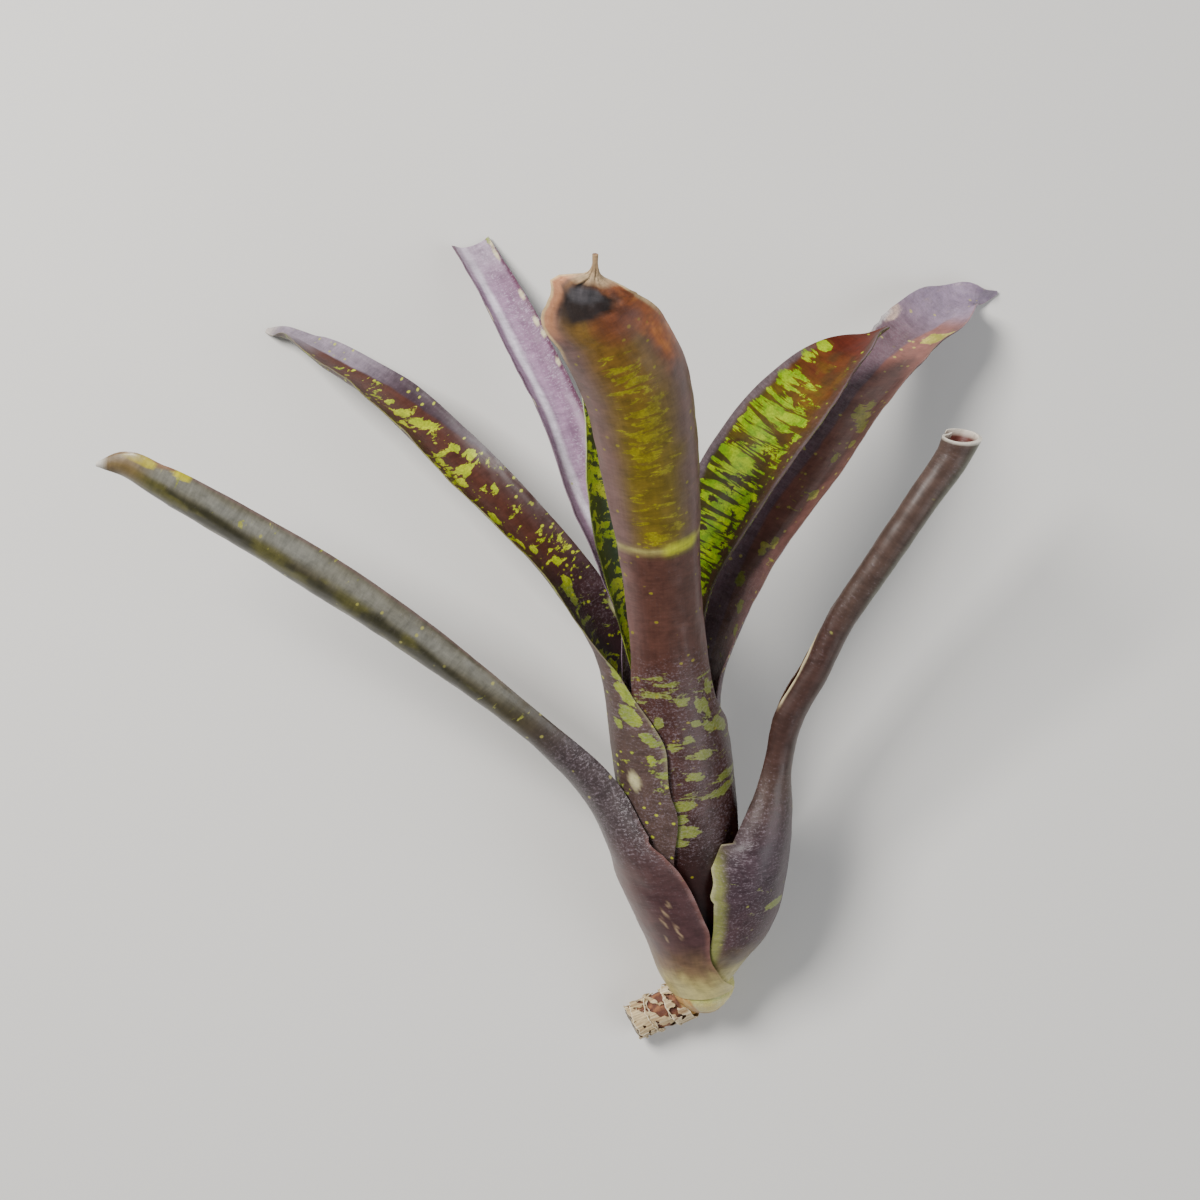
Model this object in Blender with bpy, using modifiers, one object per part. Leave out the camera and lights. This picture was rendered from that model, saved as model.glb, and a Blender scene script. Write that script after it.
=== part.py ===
"""Neoregelia offset, picked with its cut runner, lying on the tips of its back leaves.

Every leaf is a sheath that clasps the growing axis and a blade that leaves the rosette.
A leaf is lofted through stations along its midrib. Each station holds the midrib's place,
the radius of the curl across the leaf, the half angle that the curl spans and a twist.
Lengths are millimetres until a mesh is made, where they become metres.
"""

import math

import bmesh
import bpy
from mathutils import Matrix, Vector

MM = 0.001
PLANT_NAME = "neoregelia_bromeliad"

# The growing axis, from the bottom of the pale swelling towards the heart of the rosette
BASE = Vector((25.0, -92.0, 11.5))
AXIS_LEAN = 7.8
AXIS_RISE = 19.4

# Leaves
LEAF_THICKNESS = 0.7
NEST_PITCH = 1.3
ROW_LENGTH = 8.0
ACROSS = 12

# Outer radius of the bundle of sheaths at heights along the axis
BUNDLE = ((0.0, 6.6), (10.0, 8.3), (20.0, 10.8), (30.0, 12.7), (45.0, 14.2), (60.0, 14.4), (80.0, 14.0))

# Runner and crown
RUNNER_RADIUS = 4.1
RUNNER_START = Vector((26.0, -93.0, 9.6))
RUNNER_END = Vector((6.5, -103.2, 4.9))
CROWN_PROFILE = (
    (-6.8, 0.0), (-6.3, 3.0), (-4.9, 5.2), (-3.0, 6.8), (-1.2, 7.7), (0.0, 8.0),
    (0.3, 6.6), (3.0, 5.4), (6.0, 3.9), (9.0, 2.6), (12.0, 1.6), (15.0, 0.8), (15.8, 0.0),
)
BRACT_THICKNESS = 0.4
BRACT_GAP = 0.3

# Moves the plant so that its box is centred on the origin and rests on the ground
PLACE = Vector((5.64, 9.18, -0.14))

LEAN = math.radians(AXIS_LEAN)
RISE = math.radians(AXIS_RISE)
AXIS = Vector((-math.sin(LEAN) * math.cos(RISE), math.cos(LEAN) * math.cos(RISE), math.sin(RISE)))
RIGHT = AXIS.cross(Vector((0.0, 0.0, 1.0))).normalized()
FRONT = RIGHT.cross(AXIS).normalized()


def axis_point(height):
    return BASE + AXIS * height


def around(azimuth):
    """The direction away from the axis: 0 faces up from the ground, 90 is the right side."""
    turn = math.radians(azimuth)
    return FRONT * math.cos(turn) + RIGHT * math.sin(turn)


def bundle_radius(height):
    """Outer radius of the nested sheaths, read from BUNDLE."""
    if height >= BUNDLE[-1][0]:
        return BUNDLE[-1][1]
    for (low, inner), (high, outer) in zip(BUNDLE, BUNDLE[1:]):
        if height <= high:
            return inner + (outer - inner) * (height - low) / (high - low)


def sheath(height, azimuth, wrap, layer=None, out=None, curl=None, twist=0.0):
    """A station on a sheath. layer counts inwards from the outermost clasping sheath."""
    if out is None:
        out = bundle_radius(height) - LEAF_THICKNESS / 2 - layer * NEST_PITCH
    place = axis_point(height) + around(azimuth) * out
    return (*place, curl or out, wrap, twist, 1.0)


def blade(x, y, z, curl, wrap, twist=0.0):
    """A station on a blade, whose section is square to the midrib and not to the axis."""
    return (x, y, z, curl, wrap, twist, 0.0)


def follow(stations, row_length=ROW_LENGTH):
    """Rows along a smooth curve through the stations, at most row_length apart."""
    places = [Vector(s[:3]) for s in stations]
    gaps = [(b - a).length for a, b in zip(places, places[1:])]
    count = len(stations)

    def slope(i, k):
        if i == 0:
            return (stations[1][k] - stations[0][k]) / gaps[0]
        if i == count - 1:
            return (stations[-1][k] - stations[-2][k]) / gaps[-1]
        before = (stations[i][k] - stations[i - 1][k]) / gaps[i - 1]
        after = (stations[i + 1][k] - stations[i][k]) / gaps[i]
        return (before * gaps[i] + after * gaps[i - 1]) / (gaps[i - 1] + gaps[i])

    rows = []
    for i, gap in enumerate(gaps):
        steps = max(1, round(gap / row_length))
        for j in range(steps + (i == count - 2)):
            t = j / steps
            h00, h10 = 2 * t**3 - 3 * t**2 + 1, t**3 - 2 * t**2 + t
            h01, h11 = 3 * t**2 - 2 * t**3, t**3 - t**2
            rows.append([
                h00 * stations[i][k] + h10 * gap * slope(i, k)
                + h01 * stations[i + 1][k] + h11 * gap * slope(i + 1, k)
                for k in range(len(stations[0]))
            ])
    return rows


def inward(place, along):
    """The way from the midrib to the axis, square to the midrib: the inner face looks there."""
    foot = BASE + AXIS * (place - BASE).dot(AXIS)
    way = foot - place
    return (way - along * way.dot(along)).normalized()


def surface(name, rows, across=ACROSS):
    """An open sheet through the rows, in metres."""
    mesh = bpy.data.meshes.new(name)
    bm = bmesh.new()
    grid = []
    for i, (x, y, z, curl, wrap, twist, clasp) in enumerate(rows):
        place = Vector((x, y, z))
        behind = Vector(rows[max(i - 1, 0)][:3])
        ahead = Vector(rows[min(i + 1, len(rows) - 1)][:3])
        along = (ahead - behind).normalized().lerp(AXIS, clasp).normalized()
        facing = Matrix.Rotation(math.radians(twist), 3, along) @ inward(place, along)
        side = along.cross(facing)
        line = []
        for j in range(across + 1):
            turn = math.radians(wrap) * (2 * j / across - 1)
            point = place + facing * curl * (1 - math.cos(turn)) + side * curl * math.sin(turn)
            line.append(bm.verts.new(point * MM))
        grid.append(line)
    for low, high in zip(grid, grid[1:]):
        for j in range(across):
            bm.faces.new((low[j], low[j + 1], high[j + 1], high[j]))
    bm.to_mesh(mesh)
    bm.free()
    mesh.shade_smooth()
    return mesh


def material(name, colour, roughness):
    made = bpy.data.materials.new(name)
    made.use_nodes = True
    shader = made.node_tree.nodes["Principled BSDF"]
    shader.inputs["Base Color"].default_value = (*colour, 1.0)
    shader.inputs["Roughness"].default_value = roughness
    shader.inputs["Metallic"].default_value = 0.0
    return made


def add_object(name, mesh, collection, finish, holder):
    made = bpy.data.objects.new(name, mesh)
    collection.objects.link(made)
    made.data.materials.append(finish)
    made.parent = holder
    return made


def leaf(name, stations, collection, finish, holder, thickness=LEAF_THICKNESS):
    made = add_object(name, surface(name, follow(stations)), collection, finish, holder)
    shell = made.modifiers.new("thickness", "SOLIDIFY")
    shell.thickness = thickness * MM
    shell.offset = 0.0
    shell.use_rim = True
    return made


def leaf_stations():
    """Each leaf by name, from its foot to its tip."""
    return {
        "leaf_outer_left": [
            sheath(1.0, -62, 117, out=8.2),
            sheath(5.5, -62, 88, out=9.9),
            sheath(9.5, -63, 78, out=10.9),
            sheath(14.0, -64, 69, out=11.8),
            sheath(22.0, -66, 66, out=14.0, curl=12.4),
            sheath(33.0, -69, 68, out=17.0, curl=12.4),
            sheath(41.0, -70, 70, out=18.4, curl=11.4, twist=-6),
            blade(-3.8, -43.6, 34.5, 7.4, 70, 22),
            blade(-12.2, -34.2, 37.5, 5.3, 72, 38),
            blade(-26.8, -21.8, 43.0, 5.2, 72, 45),
            blade(-42.0, -10.8, 47.0, 6.4, 72, 45),
            blade(-57.0, -0.7, 51.0, 7.1, 72, 45),
            blade(-71.0, 8.4, 54.0, 7.0, 70, 45),
            blade(-85.0, 17.0, 57.0, 6.7, 68, 45),
            blade(-96.2, 23.8, 59.0, 5.9, 64, 45),
            blade(-104.0, 28.4, 60.0, 4.1, 56, 42),
            blade(-108.3, 29.2, 60.0, 0.8, 40, 40),
        ],
        "leaf_outer_right": [
            sheath(3.0, 60, 105, out=7.0),
            sheath(6.0, 62, 86, out=9.2, curl=8.0),
            sheath(9.5, 64, 88, out=12.0, curl=7.9),
            sheath(14.0, 66, 97, out=16.0, curl=9.3),
            sheath(20.0, 68, 106, out=19.4, curl=10.2),
            sheath(31.0, 70, 107, out=22.8, curl=11.5),
            sheath(44.0, 72, 113, out=25.2, curl=7.9),
            blade(43.0, -39.5, 36.0, 4.3, 115),
            blade(45.3, -27.5, 40.0, 3.5, 140),
            blade(50.4, -17.0, 44.0, 3.1, 155),
            blade(56.0, -5.1, 48.0, 3.0, 160),
            blade(63.0, 5.6, 52.0, 3.2, 160),
            blade(72.2, 20.0, 57.0, 3.3, 160),
            blade(80.0, 31.5, 60.3, 3.7, 160),
            blade(81.4, 34.4, 61.2, 3.9, 160),
        ],
        "leaf_left": [
            sheath(5.5, -112, 100, layer=0),
            sheath(20.0, -112, 100, layer=0),
            sheath(38.0, -113, 96, layer=0),
            sheath(54.0, -114, 106, layer=0),
            sheath(66.0, -116, 84, layer=0),
            sheath(75.0, -118, 62, layer=0),
            sheath(84.0, -120, 50, out=14.5, curl=12.0),
            blade(-8.3, 4.4, 36.5, 9.8, 48, -12),
            blade(-21.2, 19.2, 35.5, 9.0, 50, -22),
            blade(-35.3, 33.2, 31.5, 9.2, 51, -25),
            blade(-49.3, 46.2, 23.5, 8.8, 52, -25),
            blade(-60.6, 54.0, 15.5, 7.6, 54, -22),
            blade(-70.4, 60.8, 8.5, 5.4, 54, -18),
            blade(-77.2, 64.7, 3.2, 3.0, 50, -15),
            blade(-81.5, 66.0, 0.6, 0.8, 40, -15),
        ],
        "leaf_front": [
            sheath(8.5, 6, 95, layer=1),
            sheath(22.0, 6, 100, layer=1),
            sheath(40.0, 6, 100, layer=1),
            sheath(56.0, 6, 100, layer=1),
            sheath(66.0, 6, 84, layer=1),
            sheath(74.0, 5, 56, layer=1),
            blade(16.0, -14.0, 53.0, 10.6, 53),
            blade(14.0, -3.0, 58.5, 10.0, 62),
            blade(14.2, 7.0, 65.0, 9.9, 64),
            blade(13.0, 18.0, 73.0, 10.8, 66),
            blade(11.0, 30.5, 83.0, 11.7, 68),
            blade(7.2, 42.8, 94.2, 12.1, 65),
            blade(2.2, 50.4, 101.3, 13.0, 54),
            blade(-1.0, 55.4, 105.6, 14.0, 42),
            blade(-1.6, 59.0, 108.6, 14.0, 30),
            blade(-1.3, 61.2, 110.4, 3.0, 45),
            blade(-1.0, 62.8, 112.0, 1.0, 40),
            blade(-0.9, 65.0, 114.0, 0.8, 40),
        ],
        "leaf_right": [
            sheath(11.0, 112, 100, layer=2),
            sheath(25.0, 112, 100, layer=2),
            sheath(45.0, 112, 96, layer=2),
            sheath(62.0, 112, 84, layer=2),
            sheath(69.0, 112, 60, out=11.0, curl=10.9),
            sheath(76.0, 112, 48, out=12.1, curl=11.0),
            blade(30.2, -4.0, 36.0, 9.5, 46, 12),
            blade(35.2, 8.8, 38.0, 9.6, 52, 26),
            blade(41.2, 19.2, 37.5, 10.0, 54, 36),
            blade(51.6, 32.6, 33.5, 10.4, 52, 40),
            blade(60.9, 45.5, 26.5, 10.6, 52, 43),
            blade(69.5, 55.8, 19.0, 10.8, 52, 48),
            blade(78.1, 64.0, 12.0, 10.6, 56, 40),
            blade(84.3, 69.6, 7.8, 8.4, 58, 34),
            blade(90.4, 73.1, 3.9, 4.6, 54, 28),
            blade(97.0, 75.2, 0.7, 0.8, 40, 22),
        ],
        "leaf_back": [
            sheath(13.5, 200, 95, layer=3),
            sheath(28.0, 200, 95, layer=3),
            sheath(48.0, 200, 90, layer=3),
            sheath(64.0, 200, 76, layer=3),
            sheath(78.0, 202, 60, layer=3),
            blade(11.0, -6.5, 30.0, 8.8, 54),
            blade(4.5, 9.5, 31.0, 8.2, 56),
            blade(-3.8, 25.5, 28.0, 7.0, 58),
            blade(-11.0, 45.0, 21.5, 6.5, 60),
            blade(-18.0, 59.5, 14.5, 6.6, 60),
            blade(-25.5, 74.5, 7.5, 6.2, 58),
            blade(-32.0, 86.0, 1.3, 5.8, 56),
        ],
        "leaf_inner_right": [
            sheath(16.0, 128, 85, layer=4),
            sheath(32.0, 128, 90, layer=4),
            sheath(50.0, 128, 84, layer=4),
            sheath(66.0, 128, 68, layer=4),
            sheath(78.0, 128, 48, layer=4),
            blade(22.6, 3.5, 40.0, 9.5, 38, 12),
            blade(28.0, 17.5, 43.0, 11.5, 54, 24),
            blade(38.0, 33.5, 43.5, 12.5, 56, 30),
            blade(46.3, 43.7, 41.5, 12.2, 55, 32),
            blade(54.5, 53.0, 38.0, 10.0, 52, 32),
            blade(61.0, 58.8, 34.5, 6.0, 46, 32),
            blade(66.0, 62.5, 31.0, 0.9, 40, 32),
        ],
        "leaf_inner_back": [
            sheath(18.0, 186, 80, layer=5),
            sheath(34.0, 186, 80, layer=5),
            sheath(52.0, 186, 76, layer=5),
            sheath(70.0, 186, 56, layer=5),
            blade(9.8, -10.0, 33.6, 8.0, 49),
            blade(6.4, 2.0, 36.6, 8.8, 52),
            blade(2.8, 14.0, 39.0, 9.8, 59),
            blade(1.6, 27.0, 40.0, 8.7, 59),
            blade(0.0, 39.0, 41.5, 5.8, 54),
            blade(-4.3, 48.8, 42.0, 0.8, 40),
        ],
        "leaf_heart": [
            sheath(20.0, 30, 130, out=2.6),
            sheath(32.0, 30, 130, out=3.4),
            sheath(46.0, 30, 140, out=3.6),
            sheath(60.0, 30, 150, out=3.0),
            sheath(70.0, 30, 150, out=1.8),
            sheath(76.0, 30, 120, out=0.8),
        ],
    }


LEAF_COLOURS = {
    "leaf_outer_left": (0.075, 0.068, 0.045),
    "leaf_outer_right": (0.060, 0.045, 0.045),
    "leaf_left": (0.120, 0.060, 0.050),
    "leaf_front": (0.130, 0.085, 0.040),
    "leaf_right": (0.130, 0.080, 0.085),
    "leaf_back": (0.380, 0.300, 0.400),
    "leaf_inner_right": (0.280, 0.420, 0.030),
    "leaf_inner_back": (0.180, 0.240, 0.060),
    "leaf_heart": (0.300, 0.400, 0.080),
}


def aligned(direction):
    """A turn that takes +Z to the direction."""
    return direction.to_track_quat("Z", "Y").to_matrix().to_4x4()


def turned(name, profile, collection, finish, holder, steps=24):
    """A solid of revolution about +Z from (height, radius) pairs, top to bottom."""
    mesh = bpy.data.meshes.new(name)
    bm = bmesh.new()
    line = [bm.verts.new((radius * MM, 0.0, height * MM)) for height, radius in reversed(profile)]
    for a, b in zip(line, line[1:]):
        bm.edges.new((a, b))
    bm.to_mesh(mesh)
    bm.free()
    made = add_object(name, mesh, collection, finish, holder)
    screw = made.modifiers.new("turn", "SCREW")
    screw.steps = steps
    screw.render_steps = steps
    screw.use_merge_vertices = True
    screw.merge_threshold = 0.00001
    return made


def stem(collection, cutters, finish, holder):
    """The crown turned about the axis, joined to the straight runner."""
    crown = turned("stem", CROWN_PROFILE, collection, finish, holder)
    crown.matrix_basis = Matrix.Translation(BASE * MM) @ aligned(AXIS)

    length = (RUNNER_END - RUNNER_START).length
    bm = bmesh.new()
    bmesh.ops.create_cone(
        bm, cap_ends=True, segments=20,
        radius1=RUNNER_RADIUS * MM, radius2=RUNNER_RADIUS * MM, depth=length * MM,
    )
    mesh = bpy.data.meshes.new("runner")
    bm.to_mesh(mesh)
    bm.free()
    runner = bpy.data.objects.new("runner_to_join", mesh)
    cutters.objects.link(runner)
    runner.parent = holder
    runner.hide_render = True
    runner.display_type = "WIRE"
    middle = (RUNNER_START + RUNNER_END) / 2
    runner.matrix_basis = Matrix.Translation(middle * MM) @ aligned(RUNNER_END - RUNNER_START)

    join = crown.modifiers.new("runner", "BOOLEAN")
    join.operation = "UNION"
    join.object = runner
    join.solver = "EXACT"
    return crown


def bract(name, start, end, flare, collection, finish, holder):
    """A papery ring round the runner, between two distances from the runner's start."""
    way = (RUNNER_END - RUNNER_START).normalized()
    inner = RUNNER_RADIUS + BRACT_GAP + BRACT_THICKNESS / 2
    bm = bmesh.new()
    bmesh.ops.create_cone(
        bm, cap_ends=False, segments=20,
        radius1=inner * MM, radius2=(inner + flare) * MM, depth=(end - start) * MM,
    )
    mesh = bpy.data.meshes.new(name)
    bm.to_mesh(mesh)
    bm.free()
    mesh.shade_smooth()
    made = add_object(name, mesh, collection, finish, holder)
    middle = RUNNER_START + way * (start + end) / 2
    made.matrix_basis = Matrix.Translation(middle * MM) @ aligned(way)
    shell = made.modifiers.new("thickness", "SOLIDIFY")
    shell.thickness = BRACT_THICKNESS * MM
    shell.offset = 0.0
    return made


def clear_scene():
    for thing in list(bpy.data.objects):
        bpy.data.objects.remove(thing, do_unlink=True)


def main():
    clear_scene()
    plant = bpy.data.collections.new(PLANT_NAME)
    cutters = bpy.data.collections.new("joining_shapes")
    bpy.context.scene.collection.children.link(plant)
    bpy.context.scene.collection.children.link(cutters)
    holder = bpy.data.objects.new("plant_place", None)
    holder.location = PLACE * MM
    plant.objects.link(holder)

    for name, stations in leaf_stations().items():
        leaf(name, stations, plant, material(name, LEAF_COLOURS[name], 0.45), holder)
    stem(plant, cutters, material("stem", (0.62, 0.50, 0.30), 0.6), holder)
    paper = {"bract_collar": (10.5, 12.5, 0.2), "bract_upper": (12.9, 16.0, 0.1),
             "bract_middle": (16.4, 19.4, 0.1), "bract_lower": (19.8, 21.6, 0.2)}
    for name, (start, end, flare) in paper.items():
        bract(name, start, end, flare, plant, material(name, (0.70, 0.55, 0.35), 0.8), holder)


main()
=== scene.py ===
"""Looks of the neoregelia offset: fine leaves, crown, runner and papery bracts in place of the plain solids.

Lengths are millimetres in the plant's own space until a mesh is made. A leaf is a two-faced shell
along its midrib: s is the distance from its foot in millimetres and v runs across it from -1 to 1.
"""

import math

import bpy
import numpy as np
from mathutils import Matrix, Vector


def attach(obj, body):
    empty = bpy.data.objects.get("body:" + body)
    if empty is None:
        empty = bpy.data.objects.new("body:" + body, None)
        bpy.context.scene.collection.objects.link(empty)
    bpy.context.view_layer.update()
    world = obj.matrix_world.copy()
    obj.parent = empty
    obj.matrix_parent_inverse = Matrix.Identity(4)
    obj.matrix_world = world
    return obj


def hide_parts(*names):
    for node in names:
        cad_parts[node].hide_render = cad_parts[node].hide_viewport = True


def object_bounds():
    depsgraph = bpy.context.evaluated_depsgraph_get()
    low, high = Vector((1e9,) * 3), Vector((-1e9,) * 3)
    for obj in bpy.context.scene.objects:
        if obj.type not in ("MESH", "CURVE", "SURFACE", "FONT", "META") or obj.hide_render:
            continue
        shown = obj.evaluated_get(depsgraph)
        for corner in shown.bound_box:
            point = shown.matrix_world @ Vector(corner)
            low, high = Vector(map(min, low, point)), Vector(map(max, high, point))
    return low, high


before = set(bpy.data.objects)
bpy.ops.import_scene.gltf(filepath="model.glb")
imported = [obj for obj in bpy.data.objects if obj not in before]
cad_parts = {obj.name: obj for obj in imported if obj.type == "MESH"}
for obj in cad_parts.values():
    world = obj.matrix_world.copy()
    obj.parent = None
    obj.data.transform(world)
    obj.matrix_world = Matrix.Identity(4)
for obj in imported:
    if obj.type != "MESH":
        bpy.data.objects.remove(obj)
cad_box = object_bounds()

MM = 0.001

# The plant's own space: its place in the frame, its growing axis and the bundle of sheaths round that
UP = np.array((0.0, 0.0, 1.0))
PLACE = np.array((5.64, 9.18, -0.14))
BASE = np.array((25.0, -92.0, 11.5))
LEAN = math.radians(7.8)
RISE = math.radians(19.4)
AXIS = np.array((-math.sin(LEAN) * math.cos(RISE), math.cos(LEAN) * math.cos(RISE), math.sin(RISE)))
RIGHT = np.cross(AXIS, UP)
RIGHT /= np.linalg.norm(RIGHT)
FRONT = np.cross(RIGHT, AXIS)
BUNDLE = ((0.0, 6.6), (10.0, 8.3), (20.0, 10.8), (30.0, 12.7), (45.0, 14.2), (60.0, 14.4), (80.0, 14.0))
LEAF_THICKNESS = 0.7
NEST_PITCH = 1.3

# The fine leaves
ROW_STEP = 0.9
COLUMNS = 76
MIDRIB_THICKNESS = 0.85
HEART_MIDRIB_THICKNESS = 0.68
MARGIN_THICKNESS = 0.22

# Steps of a skin's third coordinate, so that no two faces and no two leaves share a pattern
INNER_FACE_SHIFT = 40.0
LEAF_SHIFT = 7.0

# The box that the visual model stays in
BOX_INSET = 0.00003
BOX_LOW = np.array(cad_box[0]) + BOX_INSET
BOX_HIGH = np.array(cad_box[1]) - BOX_INSET

CAMERA_HEIGHT = 490.0
CAMERA_LENS = 60.0


# Numbers and noise
def smooth(low, high, x):
    """0 below low, 1 above high and an even curve between; low may be above high."""
    t = np.clip((np.asarray(x, float) - low) / (high - low), 0.0, 1.0)
    return t * t * (3 - 2 * t)


def between(x, low, high, soft):
    """1 inside low..high, fading over soft outside it."""
    return smooth(low - soft, low, x) * smooth(high + soft, high, x)


def blob(s, v, at, size):
    """A soft oval mark: 1 at its middle and 0 from its rim on."""
    away = ((s - at[0]) / size[0]) ** 2 + ((v - at[1]) / size[1]) ** 2
    return np.clip(1.0 - away, 0.0, 1.0)


def lattice(ix, iy, seed):
    """A fixed random number from 0 to 1 for each cell of a grid."""
    n = (ix.astype(np.int64) * 73856093) ^ (iy.astype(np.int64) * 19349663) ^ (seed * 83492791)
    n = (n ^ (n >> 13)) * 1274126177
    return ((n ^ (n >> 16)) & 0xFFFF) / 65535.0


def grain(x, y, seed=0, octaves=3):
    """Smooth noise of about -1 to 1. Each seed gives a pattern of its own."""
    x, y = np.broadcast_arrays(np.asarray(x, float), np.asarray(y, float))
    total, weight = np.zeros(x.shape), 0.0
    for k in range(octaves):
        scale, amount = 2.0**k, 0.5**k
        gx, gy = x * scale + 37.1 * k, y * scale + 11.7 * k
        ix, iy = np.floor(gx), np.floor(gy)
        fx, fy = gx - ix, gy - iy
        fx, fy = fx * fx * (3 - 2 * fx), fy * fy * (3 - 2 * fy)
        a, b = lattice(ix, iy, seed + k), lattice(ix + 1, iy, seed + k)
        c, d = lattice(ix, iy + 1, seed + k), lattice(ix + 1, iy + 1, seed + k)
        total += amount * ((a * (1 - fx) + b * fx) * (1 - fy) + (c * (1 - fx) + d * fx) * fy)
        weight += amount
    return total / weight * 2 - 1


def rgb(r, g, b):
    """A colour given as it looks on a screen, 0 to 255, as linear numbers."""
    c = np.array((r, g, b)) / 255.0
    return np.where(c <= 0.04045, c / 12.92, ((c + 0.055) / 1.055) ** 2.4)


def mix(a, b, amount):
    """Colour a turned into colour b by an amount for each point."""
    amount = np.asarray(amount)[..., None]
    return a * (1 - amount) + b * amount


def unit(vectors):
    return vectors / np.linalg.norm(vectors, axis=-1, keepdims=True)


# The leaves' stations
def sheath(height, azimuth, wrap, out, curl=None, twist=0.0):
    """A station on a sheath, whose section is square to the growing axis."""
    turn = math.radians(azimuth)
    place = BASE + AXIS * height + (FRONT * math.cos(turn) + RIGHT * math.sin(turn)) * out
    return (*place, curl or out, wrap, twist, 1.0)


def nested(layer, *stations):
    """Stations of a clasping sheath by height, azimuth and wrap. layer counts inwards from 0."""
    heights, radii = zip(*BUNDLE)
    made = []
    for height, azimuth, wrap in stations:
        out = float(np.interp(height, heights, radii)) - LEAF_THICKNESS / 2 - layer * NEST_PITCH
        made.append(sheath(height, azimuth, wrap, out))
    return made


def blades(*stations):
    """Stations on a blade, square to its midrib, by place (x, y, z), curl, wrap and twist."""
    return [(*station, 0.0) for station in stations]


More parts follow.
